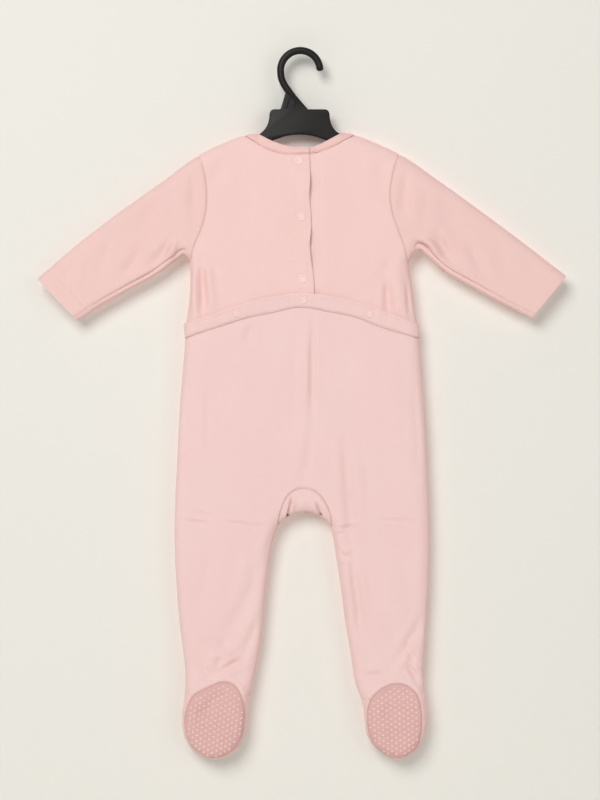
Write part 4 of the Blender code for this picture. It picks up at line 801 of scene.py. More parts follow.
back, front = -1, 1
laps = {
    "bandStep": 1.8,       # how far the upper back dips to pass under the band
    "lapStep": 2.0,        # how far the right back dips to pass under the left
    "bindingRise": 0.5,
    "bindingLap": 2.6,
    "lapEdge": -11.0,      # the right back's hidden edge
    "tuck": 12.0,          # the upper back carries on this far under the seat seam
}
hold = shape["seam"] / 2


def bandTopHeight(x):
    return np.interp(x, bandTop.path[:, 0], bandTop.path[:, 1])


def bandSeamHeight(x):
    return np.interp(x, bandSeam.path[:, 0], bandSeam.path[:, 1])


def seatShare(x, z):
    # 0 at the band's free edge and above, 1 at its seam and below
    top, low = bandTopHeight(x), bandSeamHeight(x)
    return np.clip((top - z) / (top - low), 0, 1)


def spread(width, mids, near=True, far=True, roll=13.0):
    # stations across a width, closer together where the cloth rolls over at its ends
    bands = [0.0, 0.134 * roll, 0.5 * roll, roll]
    start = bands if near else [0.0]
    stop = [width - b for b in reversed(bands)] if far else [width]
    middle = np.linspace(start[-1], stop[0], mids + 1)[1:-1]
    return np.array(start + list(middle) + stop) / width


def coons(left, right, top, bottom, us, vs):
    # a patch filled in between four edges
    u, v = us[None, :, None], vs[:, None, None]
    corners = (1 - v) * ((1 - u) * top[0] + u * top[-1]) + v * ((1 - u) * bottom[0] + u * bottom[-1])
    return (1 - u) * left[:, None] + u * right[:, None] + (1 - v) * top[None] + v * bottom[None] - corners


def inset(grid, edge, rows=None, amount=0.06):
    # draws an edge in a little, so that two pieces meet in a seam and not in one face
    views = {"left": (grid[:, 0], grid[:, 1]), "right": (grid[:, -1], grid[:, -2]),
             "top": (grid[0], grid[1]), "bottom": (grid[-1], grid[-2])}
    outer, inner = views[edge]
    chosen = np.arange(len(outer)) if rows is None else np.asarray(rows)
    outer[chosen] += unit(inner[chosen] - outer[chosen], 1e-6) * amount


def bindingRows(which, first, last):
    column = 1 if which == "free" else 3
    step = 1 if last > first else -1
    return Curve([bindingPoints[i][column : column + 2] for i in range(first, last + step, step)])


neckLeft, neckRight = [i for i, row in enumerate(bindingPoints) if row[0] == 0]
neckEnds = {
    "left": (neckLeft, 0),
    "front": (neckLeft, neckRight),
    "right": (neckRight, len(bindingPoints) - 1),
}
neckSeams = {key: bindingRows("seam", *ends) for key, ends in neckEnds.items()}
neckFree = {key: bindingRows("free", *ends) for key, ends in neckEnds.items()}
neckSteps = {
    "left": spread(neckSeams["left"].length, 4, True, False, 8.0),
    "front": spread(neckSeams["front"].length, 8, True, True, 8.0),
    "right": spread(neckSeams["right"].length, 4, True, False, 8.0),
}
armSteps = {"left": spread(armLeft.length, 4), "right": spread(armRight.length, 4)}
waist = spread(bandSeam.length, 16)
waistX = bandSeam.at(waist)[:, 0]
for edge in (laps["lapEdge"], placketPoints[-1][1]):
    k = int(np.argmin(np.abs(waistX - edge)))
    height = float(np.interp(edge, [r[0] for r in bandPoints], [r[2] for r in bandPoints]))
    waist[k], waistX[k] = bandSeam.nearest(edge, height), edge
lapStation = int(np.argmin(np.abs(waistX - laps["lapEdge"])))
overStation = int(np.argmin(np.abs(waistX - placketPoints[-1][1])))
snapAt = {name: (x, z) for name, x, z, carrier in snapPlaces}

# the lower edge of a sleeve: the front hangs a little below the back, with a dark line between
sleeveRoll = {"line": 4.2, "half": 1.3, "deep": 1.9, "swell": 0.7, "swellLine": 8.5, "swellHalf": 3.0}


def lowerRoll(under):
    def lift(x, z, side):
        far = nearCurve(under, x, z, 16.0)[0]
        trough = bell(far - sleeveRoll["line"], sleeveRoll["half"])
        swell = bell(far - sleeveRoll["swellLine"], sleeveRoll["swellHalf"])
        fade = smooth(np.abs(x), 116.0, 126.0) * (1 - 0.75 * smooth(np.abs(x), 150.0, 235.0))
        return np.where(side == back, fade * (sleeveRoll["swell"] * swell - sleeveRoll["deep"] * trough), 0.0)
    return lift


def padUnder(x, z, cx, cz, wide, high, rise, turn=0.0):
    # the faint raised oblong of a reinforcing patch behind a snap
    u, v = turned(x - cx, z - cz, turn)
    inX = 1 - smooth(np.abs(u), wide / 2 - 0.9, wide / 2 + 0.9)
    inZ = 1 - smooth(np.abs(v), high / 2 - 0.9, high / 2 + 0.9)
    return rise * inX * inZ


snapDent = {"deep": 0.45, "half": 6.0, "ring": 0.28, "ringAt": 9.0, "ringHalf": 3.0}


def snapDents(x, z, names):
    # the cloth is pressed in under a snap and swells a little round it
    total = np.zeros_like(x)
    for name in names:
        cx, cz = snapAt[name]
        far = np.hypot(x - cx, z - cz)
        total -= snapDent["deep"] * bell(far, snapDent["half"])
        total += snapDent["ring"] * bell(far - snapDent["ringAt"], snapDent["ringHalf"])
    return total


placketLook = {"stand": 2.4, "reach": 8.0, "turnUnder": 0.45, "facing": 21.0, "hollow": 1.5}


def placketEdge(x, z):
    # how far left of the placket's edge a place lies, and how free the edge is there
    edgeX = np.interp(-z, [-row[0] for row in placketPoints], [row[1] for row in placketPoints])
    held = [snapAt[n][1] for n in ("snap_neck", "snap_middle", "snap_waist")]
    gap = np.min([np.abs(z - h) for h in held], axis=0)
    return edgeX - x, smooth(gap, 6.0, 26.0) * (1 - smooth(-z, 246.0, 256.0)) * smooth(-z, 106.0, 116.0)


def leftBackLift(x, z, side):
    lift = -laps["bandStep"] * seatShare(x, z)
    inFrom, free = placketEdge(x, z)
    wave = 0.65 + 0.5 * softNoise(z / 17.0, 0.3 + 0 * z)
    lift = lift + placketLook["stand"] * free * wave * bell(inFrom, placketLook["reach"])
    facing = 1 - smooth(inFrom, placketLook["facing"] - 0.8, placketLook["facing"] + 0.8)
    lift = lift + 0.16 * facing * smooth(-z, 104.0, 108.0)
    lift = lift - placketLook["turnUnder"] * bell(inFrom, 0.7)
    lift = lift + snapDents(x, z, ["snap_neck", "snap_middle", "snap_waist"])
    lift = lift + padUnder(x, z, -64.0, -262.0, 24.0, 12.5, 0.3, 17.0)
    return lift


def rightBackLift(x, z, side):
    lift = -laps["bandStep"] * seatShare(x, z) - laps["lapStep"] * (1 - smooth(x, 15.5, 24.0))
    inFrom, free = placketEdge(x, z)
    lift = lift - placketLook["hollow"] * free * bell(inFrom + 1.2, 2.6)
    return lift + padUnder(x, z, 74.0, -263.0, 22.0, 12.5, 0.3, -17.0)


def bandLift(x, z, side):
    share = seatShare(x, z)
    lift = hold * 2 + 2.0 - laps["bandStep"] * share
    lift = lift + snapDents(x, z, ["snap_seat_centre", "snap_seat_left", "snap_seat_right"])
    lift = lift + padUnder(x, z, -64.0, -268.0, 24.0, 14.0, 0.25, 17.0)
    lift = lift + padUnder(x, z, 74.0, -269.0, 22.0, 14.0, 0.25, -17.0)
    # the free edge stands off a little where no snap holds it
    held = np.min([np.abs(x - snapAt[n][0]) for n in
                   ("snap_seat_centre", "snap_seat_left", "snap_seat_right")], axis=0)
    free = smooth(held, 8.0, 26.0) * (1 - smooth(np.abs(x), 98.0, 114.0))
    return lift + 0.7 * free * (1 - share) ** 2 - 0.5 * bell(share, 0.06)


def backHalf(name, hand, piece, first, last):
    left = hand == "left"
    n, m = piece["across"], piece["down"]
    arm, shoulder = (armLeft, topLeft) if left else (armRight, topRight)
    seam = neckSeams[hand]
    tips = hold / shoulder.length
    shoulderRun = shoulder.part(shoulder.mark(3), shoulder.mark(1) + tips)
    neckPart = neckSteps[hand]
    count = last - first + 1 - len(neckPart) + 1
    shoulderPart = np.concatenate([[0.0, 0.035, 0.13], np.linspace(0.26, 1.0, count - 3)])
    top = np.vstack([shoulderRun.at(finer(shoulderPart, n)), seam.at(finer(neckPart, n))[1:]])
    ends = bandTop.path[0 if left else -1], bandSeam.path[0 if left else -1]
    sideTop, sideLow = rim.nearest(*ends[0]), rim.nearest(*ends[1])
    armRun = arm.at(finer(armSteps[hand], m))
    sideRun = rim.part(0.0 if left else 1.0, sideTop).at(finer(np.linspace(0, 1, 5), m))
    hemShare = sideLow + (laps["tuck"] / rim.length if left else -laps["tuck"] / rim.length)
    outer = np.vstack([armRun, sideRun[1:]])

    def rowOf(height, end):
        # a row across the panel that ends on the rim itself, never outside it
        coarse = waistX[first : last + 1].copy()
        coarse[0 if left else -1] = end[0]
        x = finer(coarse, n)
        row = np.stack([x, height(x)], axis=-1)
        row[0 if left else -1] = end
        return row if left else row[::-1]

    low = rowOf(bandTopHeight, rim.at(sideTop))
    vs = np.concatenate([[0], np.cumsum(np.linalg.norm(np.diff(outer, axis=0), axis=1))])
    vs = vs / vs[-1]
    if left:
        edgeEnd = placket.nearest(*low[-1])
        inner = chain(placket.part(0.0, edgeEnd), line(placket.at(edgeEnd), low[-1]))
    else:
        inner = line(top[-1], low[-1])
    width = np.concatenate([[0], np.cumsum(np.linalg.norm(np.diff(low, axis=0), axis=1))])
    grid = coons(outer, inner.at(vs), top, low, width / width[-1], vs)
    seamRow = rowOf(bandSeamHeight, rim.at(sideLow))
    hemRow = rowOf(lambda x: bandSeamHeight(x) - laps["tuck"], rim.at(hemShare))
    tail = [low + (seamRow - low) * t for t in (0.25, 0.5, 0.75, 1.0)]
    tail += [seamRow + (hemRow - seamRow) * t for t in (0.5, 1.0)]
    grid = np.concatenate([grid, np.stack(tail)])
    inset(grid, "left", range(len(armRun)))
    inset(grid, "top", range((count - 1) * n, grid.shape[1]))
    return sewPiece(name, piece, [(grid, back, 0.0)], bodyPink)


upperBackLeft = {"ply": 1.2, "across": 7, "down": 9, "lift": leftBackLift,
                 "seams": [(armLeft, 0.9, 0.35), (neckSeams["left"], 0.7, 0.3)]}
upperBackRight = {"ply": 1.2, "across": 7, "down": 9, "lift": rightBackLift,
                  "seams": [(armRight, 0.9, 0.35), (neckSeams["right"], 0.7, 0.3)]}
leftBack = backHalf("upperBackLeft", "left", upperBackLeft, 0, overStation)
rightBack = backHalf("upperBackRight", "right", upperBackRight, lapStation, len(waistX) - 1)

# neck binding, one doubled length whose left end laps over its right
binding = {"ply": 1.8, "across": 9, "down": 8, "wraps": True,
           "seams": [(seam, 0.4, 0.2) for seam in neckSeams.values()]
           + [(free, 0.3, 0.12) for free in neckFree.values()]}


def neckBinding():
    grids = []
    for key, side, dip in (("left", back, 0.0), ("front", front, 0.0), ("right", back, laps["bindingLap"])):
        us = finer(neckSteps[key], binding["across"])
        free, seam = neckFree[key].at(us), neckSeams[key].at(us)
        steps = np.linspace(0, 1, 2 * binding["down"] + 1)
        grid = free[None] + (seam - free)[None] * steps[:, None, None]
        sides = np.full(grid.shape[:2], side)
        starts = {"left": topLeft, "front": topLeft, "right": topRight}
        for column, edge in ((0, starts[key]), (-1, topRight if key == "front" else None)):
            if edge is not None:
                grid[:, column] = edge.at(steps * edge.mark(1))
                sides[:, column] = 0
        inset(grid, "bottom")
        extra = laps["bindingRise"] - dip * (1 - smooth(grid[..., 0], 10.5, 18.0))
        grids.append((grid, sides, extra))
    return sewPiece("neckBinding", binding, grids, bindingPink)


collar = neckBinding()

# drop-seat band
band = {"ply": 1.9, "across": 12, "down": 12, "lift": bandLift,
        "seams": [(bandSeam, 0.8, 0.3)]}


def seatBand():
    rows = []
    for curve, height in ((bandTop, bandTopHeight), (bandSeam, bandSeamHeight)):
        ends = [rim.at(rim.nearest(*curve.path[k])) for k in (0, -1)]
        coarse = waistX.copy()
        coarse[0], coarse[-1] = ends[0][0], ends[1][0]
        x = finer(coarse, band["across"])
        row = np.stack([x, height(x)], axis=-1)
        row[0], row[-1] = ends
        rows.append(row)
    top, low = rows
    grid = top[None] + (low - top)[None] * np.linspace(0, 1, band["down"] + 1)[:, None, None]
    inset(grid, "bottom")
    return sewPiece("seatBand", band, [(grid, back, 0.0)], seatPink)


seatStrip = seatBand()

# the long panels
legMids, arcRows = 5, 5
crotchTop = rim.nearest(2.0, -480.8)
gussetTop = gussetSeam.nearest(1.5, -455.8)
gussetLeft, gussetRight = rim.nearest(*gussetPoints[0]), rim.nearest(*gussetPoints[-1])
ankles = {"left": (rim.nearest(-120.6, -656.0), rim.nearest(-49.4, -658.0)),
          "right": (rim.nearest(129.6, -656.0), rim.nearest(57.4, -658.0))}
heels = {"left": (rim.nearest(-121.2, -669.0), rim.nearest(-52.6, -672.6)),
         "right": (rim.nearest(131.4, -667.6), rim.nearest(63.0, -674.6))}
ankleLines = {hand: line(rim.at(ends[0]), rim.at(ends[1])) for hand, ends in ankles.items()}


def halfColumns(fork, ends, n):
    legs = [spread(np.hypot(*(fork - ends[0])), legMids), spread(np.hypot(*(ends[1] - fork)), legMids)]
    legs = [finer(leg, n) for leg in legs]
    row = [ends[0] + (fork - ends[0]) * s for s in legs[0]]
    row += [fork + (ends[1] - fork) * s for s in legs[1][1:]]
    return np.array(row), len(legs[0]) - 1


def legGrid(outer, inner, top, bottom, n):
    us = finer(spread(np.hypot(*(top[-1] - top[0])), legMids), n)
    low = bottom.at(us) if isinstance(bottom, Curve) else bottom
    return coons(outer, inner, top, low, us, np.linspace(0, 1, len(outer)))


frontPanel = {"ply": 1.2, "across": 6, "down": 8,
              "seams": [(armLeft, 0.9, 0.35), (armRight, 0.9, 0.35), (neckSeams["front"], 0.7, 0.3),
                        (ankleLines["left"], 0.7, 0.4), (ankleLines["right"], 0.7, 0.4)]}


def sewFront():
    n, m = frontPanel["across"], frontPanel["down"]
    tipL, tipR = hold / topLeft.length, hold / topRight.length
    shoulderL = topLeft.part(topLeft.mark(3), topLeft.mark(1) + tipL)
    shoulderR = topRight.part(topRight.mark(1) + tipR, topRight.mark(3))
    neck = neckSeams["front"]
    lows = rim.nearest(-131.6, -478.0), rim.nearest(134.9, -478.0)
    bottom, half = halfColumns(rim.at(crotchTop), (rim.at(lows[0]), rim.at(lows[1])), n)
    neckPart = neckSteps["front"]
    coarse = 2 * half // n + 1
    count = (coarse - len(neckPart)) // 2 + 1
    shoulderPart = finer(np.concatenate([[0.0, 0.06, 0.25], np.linspace(0.55, 1.0, count - 3)]), n)
    topRow = np.vstack([shoulderL.at(shoulderPart), neck.at(finer(neckPart, n))[1:-1],
                        shoulderR.at(1 - shoulderPart[::-1])])
    rows = []
    for arm, low, start, key in ((armLeft, lows[0], 0.0, "left"), (armRight, lows[1], 1.0, "right")):
        down = rim.part(start, low).at(finer(np.linspace(0, 1, 8), 2 * m))
        rows.append(np.vstack([arm.at(finer(armSteps[key], m)), down[1:]]))
    length = np.concatenate([[0], np.cumsum(np.linalg.norm(np.diff(rows[0], axis=0), axis=1))])
    us = np.linspace(0, 1, len(topRow))
    grid = coons(rows[0], rows[1], topRow, bottom, us, length / length[-1])
    armRows = (len(armSteps["left"]) - 1) * m + 1
    inset(grid, "left", range(armRows))
    inset(grid, "right", range(armRows))
    inset(grid, "top", range((count - 1) * n, len(topRow) - (count - 1) * n))
    grids = [(grid, front, 0.0)]
    for hand, low, top in (("left", lows[0], bottom[: half + 1]), ("right", lows[1], bottom[half:][::-1])):
        vs = np.linspace(0, 1, 9 * m + 1)
        outer, inner = rim.part(low, ankles[hand][0]), rim.part(crotchTop, ankles[hand][1])
        leg = legGrid(outer.at(vs), inner.at(vs), top, ankleLines[hand], n)
        inset(leg, "bottom")
        grids.append((leg, front, 0.0))
    return sewPiece("frontPanel", frontPanel, grids, bodyPink)


def heelRow(hand, n):
    sole = soleEdges[hand]
    arc = sole.at(np.linspace(0.0, sole.mark(heelRows), legMids + 5))
    coarse = np.vstack([rim.at(heels[hand][0]), arc, rim.at(heels[hand][1])])
    run = sole.at(finer(np.linspace(0.0, sole.mark(heelRows), legMids + 5), n))
    ends = [coarse[0] + (coarse[1] - coarse[0]) * t for t in np.linspace(0, 1, n + 1)[:-1]]
    stop = [coarse[-2] + (coarse[-1] - coarse[-2]) * t for t in np.linspace(0, 1, n + 1)[1:]]
    return np.vstack([ends, run, stop])


def soleArcs(hand):
    return soleEdges[hand].part(0.0, soleEdges[hand].mark(heelRows))


heelBand = {"high": 1.1, "line": 3.0, "half": 2.6, "dip": 0.7, "dipLine": 7.8, "dipHalf": 1.8}


def seatLift(x, z, side):
    # the heel bands stand up a little over the soles
    total = np.zeros_like(x)
    for hand in ("left", "right"):
        far = nearCurve(soleArcs(hand), x, z, 14.0)[0]
        total += heelBand["high"] * bell(far - heelBand["line"], heelBand["half"])
        total -= heelBand["dip"] * bell(far - heelBand["dipLine"], heelBand["dipHalf"])
    return total


lowerBack = {"ply": 1.2, "across": 6, "down": 9, "lift": seatLift,
             "seams": [(bandSeam, 0.9, 0.35), (gussetSeam, 1.0, 0.4),
                       (soleArcs("left"), 0.7, 0.3), (soleArcs("right"), 0.7, 0.3)]}


def sewLowerBack():
    n, m = lowerBack["across"], lowerBack["down"]
    tops = rim.nearest(*bandSeam.path[0]), rim.nearest(*bandSeam.path[-1])
    lows = rim.nearest(-131.0, -466.0), rim.nearest(134.6, -466.0)
    sideL, sideR = rim.part(tops[0], lows[0]), rim.part(tops[1], lows[1])
    fork = gussetSeam.at(gussetTop) + np.array([0.0, hold])
    bottom, half = halfColumns(fork, (sideL.path[-1], sideR.path[-1]), n)
    vs = finer(np.concatenate([[0.0, laps["tuck"] / sideL.length], np.linspace(0.19, 1, 7)]), m)
    x = bandSeam.at(finer(waist, n))[:, 0]
    top = np.stack([x, bandSeamHeight(x)], axis=-1)
    top[0], top[-1] = sideL.path[0], sideR.path[0]
    grid = coons(sideL.at(vs), sideR.at(vs), top, bottom, finer(waist, n), vs)
    inset(grid, "top")
    grids = [(grid, back, 0.0)]
    for hand, low, joint, end in (("left", lows[0], gussetLeft, 0.0), ("right", lows[1], gussetRight, 1.0)):
        heelOut, heelIn = heels[hand]
        arc = gussetSeam.at(np.linspace(gussetTop, end, arcRows * m + 1))
        arc[0], arc[-1] = fork, rim.at(joint)
        inner = np.vstack([arc, rim.part(joint, heelIn).at(np.linspace(0, 1, 10 * m + 1))[1:]])
        outer = rim.part(low, heelOut).at(np.linspace(0, 1, len(inner)))
        topRow = bottom[: half + 1] if hand == "left" else bottom[half:][::-1]
        leg = legGrid(outer, inner, topRow, heelRow(hand, n), n)
        inset(leg, "right", range(1, arcRows * m))
        inset(leg, "bottom")
        grids.append((leg, back, 0.0))
    return sewPiece("lowerBack", lowerBack, grids, seatPink)


frontCloth = sewFront()
seatCloth = sewLowerBack()

# crotch gusset
gusset = {"ply": 1.2, "across": 8, "down": 8, "seams": [(gussetSeam, 0.9, 0.35)]}


# the gusset's pleats: x0, z0, x1, z1
pleats = [(-8.0, -462.0, -12.6, -484.0), (14.4, -466.0, 21.0, -484.0)]
pleatLook = {"deep": 3.0, "half": 1.25, "fadeIn": 9.0, "lip": 0.8, "lipAt": 3.2, "lipHalf": 1.8}


def gussetLift(x, z, side):
    # two deep pleats that run down from the curved seam
    total = np.zeros_like(x)
    for pleat in pleats:
        along, off, _ = alongLine(x, z, *pleat)
        trough = pleatLook["deep"] * bell(off, pleatLook["half"])
        lip = pleatLook["lip"] * bell(np.abs(off) - pleatLook["lipAt"], pleatLook["lipHalf"])
        total -= smooth(along, 0.0, pleatLook["fadeIn"]) * (trough - lip)
    return total


gusset["lift"] = gussetLift


def sewGusset():
    n, m = gusset["across"], gusset["down"]
    fork = gussetSeam.at(gussetTop)
    left = gussetSeam.at(finer(np.linspace(0.0, gussetTop, arcRows + 1), n))
    right = gussetSeam.at(finer(np.linspace(gussetTop, 1.0, arcRows + 1), n))
    top = np.vstack([left, right[1:]])
    low = rim.part(gussetLeft, gussetRight)
    us = np.linspace(0.012, 0.988, len(top))[1:-1]
    top = top[1:-1]
    bottom = low.at(us)
    way = (fork + low.at(0.5)) / 2 - top
    top = top + way / np.linalg.norm(way, axis=1, keepdims=True) * 0.12
    vs = np.linspace(0, 1, 3 * m + 1)
    grid = top[None] * (1 - vs[:, None, None]) + bottom[None] * vs[:, None, None]
    return sewPiece("crotchGusset", gusset, [(grid, back, 0.0)], seatPink)


gussetCloth = sewGusset()


# sleeves
cuffHem = {"deep": 15.2, "soft": 0.8, "rise": 0.4, "groove": 0.3, "edge": 0.35}


def sleevePiece(under, arm, cuff, grain):
    low = lowerRoll(under)

    def lift(x, z, side):
        far = nearCurve(cuff, x, z, 24.0)[0]
        hem = 1 - smooth(far, cuffHem["deep"] - cuffHem["soft"], cuffHem["deep"] + cuffHem["soft"])
        groove = cuffHem["groove"] * bell(far - cuffHem["deep"] - 1.0, 0.9)
        return low(x, z, side) + cuffHem["rise"] * hem - groove - cuffHem["edge"] * bell(far, 0.8)
    return {"ply": 1.2, "across": 7, "down": 11, "wraps": True, "lift": lift, "grain": grain,
            "seams": [(arm, 0.9, 0.4)]}


def sewSleeve(name, arm, top, under, hand):
    upper, lower = top.part(top.mark(3), 1.0), under.part(1.0, 0.0)
    cuff = line(upper.path[-1], lower.path[-1])
    cuff = Path(cuff.at(np.linspace(0, 1, 60)))
    piece = sleevePiece(under, arm, cuff, 34.0 if hand == "left" else -34.0)
    aroundArm = finer(armSteps[hand], piece["across"])
    aroundCuff = finer(spread(cuff.length, 4, roll=10.0), piece["across"])
    vs = np.linspace(0, 1, 9 * piece["down"] + 1)
    us = (aroundArm + aroundCuff) / 2
    grid = coons(arm.at(aroundArm), cuff.at(aroundCuff), upper.at(vs), lower.at(vs), vs, us)
    grid = np.transpose(grid, (1, 0, 2))
    inset(grid, "top")
    sides = np.full(grid.shape[:2], back)
    sides[:, 0] = sides[:, -1] = 0
    obj = sewPiece(name, piece, [(grid, sides, 0.0), (grid[:, ::-1], -sides[:, ::-1], 0.0)], sleevePink)
    return obj, piece, cuff


leftSleeve, leftSleevePiece, leftCuff = sewSleeve("sleeveLeft", armLeft, topLeft, underLeft, "left")
rightSleeve, rightSleevePiece, rightCuff = sewSleeve("sleeveRight", armRight, topRight, underRight, "right")

# feet
toeCorners = {"left": (rim.nearest(-109.0, -733.2), rim.nearest(-72.4, -734.0)),
              "right": (rim.nearest(118.0, -733.2), rim.nearest(86.6, -734.0))}
# hollows and swells of the soles: x0, z0, x1, z1, half width, height
soleFolds = {
    "left": [(-82.0, -668.0, -106.0, -695.0, 7.0, -3.4), (-78.0, -692.0, -82.0, -716.0, 8.0, 1.3)],
    "right": [(98.0, -674.0, 97.0, -702.0, 15.0, -1.5), (84.0, -668.0, 112.0, -666.0, 5.0, -1.2)],
}


def through(shares, wanted):
    # moves the nearest station onto a wanted place
    shares = shares.copy()
    k = 1 + int(np.argmin(np.abs(shares[1:-1] - wanted)))
    shares[k] = wanted
    return shares, k


def footPiece(hand):
    toe = soleEdges[hand].part(1.0, soleEdges[hand].mark(heelRows))
    return {"ply": 1.2, "across": 7, "down": 8, "wraps": True, "shift": hold,
            "seams": [(ankleLines[hand], 0.7, 0.4), (toe, 0.6, 0.45)]}


def sewFootUpper(name, hand):
    piece = footPiece(hand)
    n, m = piece["across"], piece["down"]
    outerAnkle, innerAnkle = ankles[hand]
    outerToe, innerToe = toeCorners[hand]
    outerHeel, innerHeel = heels[hand]
    outer, inner = rim.part(outerAnkle, outerToe), rim.part(innerAnkle, innerToe)
    toe = rim.part(outerToe, innerToe)
    us = finer(spread(abs(outer.at(0.5)[0] - inner.at(0.5)[0]), 4, roll=10.0), n)
    vs = spread(outer.length, 4, False, True, 10.0)
    vOut, a = through(vs, rim.part(outerAnkle, outerHeel).length / outer.length)
    vIn, b = through(vs, rim.part(innerAnkle, innerHeel).length / inner.length)
    vOut, vIn, vs, a, b = finer(vOut, m), finer(vIn, m), finer(vs, m), a * m, b * m
    ankle = line(outer.path[0], inner.path[0])
    grid = coons(outer.at(vOut), inner.at(vIn), ankle.at(us), toe.at(us), us, vs)
    inset(grid, "top")
    sides = np.full(grid.shape[:2], front)
    sides[:, 0] = sides[:, -1] = sides[-1] = 0
    run = np.vstack([grid[a:, 0], grid[-1, 1:-1], grid[b:, -1][::-1]])
    steps = np.linalg.norm(np.diff(run, axis=0), axis=1)
    shares = np.concatenate([[0.0], np.cumsum(steps)]) / steps.sum()
    sole = soleEdges[hand]
    seam = sole.part(1.0, sole.mark(heelRows)).at(shares)
    strip = run[None] + (seam - run)[None] * np.linspace(0, 1, 2 * m + 1)[:, None, None]
    inset(strip, "bottom")
    faced = np.full(strip.shape[:2], back)
    faced[0] = 0
    return sewPiece(name, piece, [(grid, sides, 0.0), (strip, faced, 0.0)], bodyPink)


def soleLift(hand):
    edge = soleEdges[hand]

    def lift(x, z, side):
        far = nearCurve(edge, x, z, 30.0)[0]
        total = np.zeros_like(x)
        for x0, z0, x1, z1, half, height in soleFolds[hand]:
            along, off, length = alongLine(x, z, x0, z0, x1, z1)
            ends = smooth(along, -half, half) * (1 - smooth(along, length - half, length + half))
            total += height * ends * bell(off, half) * smooth(far, 0.5, 6.0)
        total = total + 0.9 * smooth(far, 2.0, 12.0) * (1 - smooth(far, 12.0, 28.0))
        return total + 0.5 * softNoise(x / 13.0 + 4.0, z / 13.0) * smooth(far, 1.0, 9.0)
    return lift


def sewSole(name, hand):
    edge = soleEdges[hand]
    # the sole's seam gets half the painted seam shade
    piece = {"ply": 1.4, "lift": soleLift(hand), "wear": 0.5, "seams": [(edge, 0.5, 0.35)]}
    around = edge.at(np.linspace(0, 1, 161))
    middle = around[:-1].mean(axis=0)
    around = around + unit(middle - around) * 0.12
    rings = np.concatenate([[0.0], np.linspace(0.05, 0.86, 22), np.linspace(0.89, 1.0, 9)])
    grid = middle + (around - middle)[None] * rings[:, None, None]
    return sewPiece(name, piece, [(grid, back, 0.0)], solePink), piece


footUppers, soles, solePieces = {}, {}, {}
for hand in ("left", "right"):
    footUppers[hand] = sewFootUpper("footUpper" + hand.capitalize(), hand)
    soles[hand], solePieces[hand] = sewSole("sole" + hand.capitalize(), hand)

# raised grip dots, staggered, pressed onto the soles
grip = {"stepX": 8.8, "stepZ": 5.6, "radius": 1.25, "high": 0.7, "clear": 3.0}


def dotShape():
    bpy.ops.object.select_all(action="DESELECT")
    bpy.ops.mesh.primitive_uv_sphere_add(segments=10, ring_count=8, radius=grip["radius"], location=(0, 0, 0))
    obj = bpy.context.object
    bpy.ops.object.mode_set(mode="EDIT")
    bpy.ops.mesh.select_all(action="SELECT")
    bpy.ops.mesh.bisect(plane_co=(0, 0, -0.2), plane_no=(0, 0, 1), clear_inner=True, use_fill=True)
    bpy.ops.mesh.select_all(action="SELECT")
    bpy.ops.transform.resize(value=(1, 1, grip["high"] / grip["radius"]))
    bpy.ops.object.mode_set(mode="OBJECT")
    return takeShape(obj)


dotVerts, dotFaces = dotShape()


def gripDots(name, hand):
    lean = math.radians(-6.0 if hand == "left" else 2.0)
    ring = soleEdges[hand].path
    cx, cz = ring.mean(axis=0)
    places = []
    for i in range(-8, 9):
        for j in range(-18, 19):
            u, v = (i + (0.5 if j % 2 else 0.0)) * grip["stepX"], j * grip["stepZ"] / 2
            x, z = cx + u * math.cos(lean) - v * math.sin(lean), cz + u * math.sin(lean) + v * math.cos(lean)
            inFrom = np.hypot(ring[:, 0] - x, ring[:, 1] - z).min()
            if isInside(ring, np.array([x]), np.array([z]))[0] and inFrom > grip["clear"]:
                places.append((x, z))
    places = np.array(places)
    spot, face, _ = clothPoint(solePieces[hand], places[:, 0], places[:, 1], np.full(len(places), -1.0))
    points, faces = [], []
    for p, n in zip(spot, face):
        u = unit(np.cross(n, [0.0, 0.0, 1.0]))
        v = np.cross(n, u)
        base = len(points)
        points += list(p + dotVerts[:, :1] * u + dotVerts[:, 1:2] * v + dotVerts[:, 2:] * n)
        faces += [tuple(base + k for k in f) for f in dotFaces]
    obj = makeMesh(name, np.array(points) * mm, faces, gripPink)
    print(name, len(places), "dots")
    return finishObject(obj, 70.0)


gripObjects = {hand: gripDots("gripDots" + hand.capitalize(), hand) for hand in ("left", "right")}

# stitching
threads = {}


def addThread(key, name, piece, path, side, extra=0.0):
    row = threadRow(name, piece, path, side, extra)
    threads.setdefault(key, []).append(row)


# how far each row of stitches lies beside its edge or seam
rowGaps = {"placket": -5.2, "bandEdge": -2.6, "bandSeam": 2.2, "neck": 1.7, "cuff": 15.0}
placketLine = beside(placket.part(0.02, placket.nearest(14.6, -252.0)), rowGaps["placket"])
addThread("upperBackLeft", "threadPlacket", upperBackLeft, placketLine, back)
bandLine = beside(bandTop.part(0.02, 0.98), rowGaps["bandEdge"])
addThread("seatBand", "threadBandEdge", band, bandLine, back)
bandLow = beside(bandSeam.part(0.02, 0.98), rowGaps["bandSeam"])
addThread("seatBand", "threadBandSeam", band, bandLow, back)
for key, side in (("left", back), ("front", front), ("right", back)):
    run = neckSeams[key].part(0.03, 0.97 if key == "front" else 0.9)
    shifted = beside(run, rowGaps["neck"])
    freeMiddle = neckFree[key].at(0.5)
    if np.hypot(*(shifted.at(0.5) - freeMiddle)) > np.hypot(*(run.at(0.5) - freeMiddle)):
        shifted = beside(run, -rowGaps["neck"])
    addThread("neckBinding", "threadNeck" + key.capitalize(), binding, shifted, side, laps["bindingRise"])
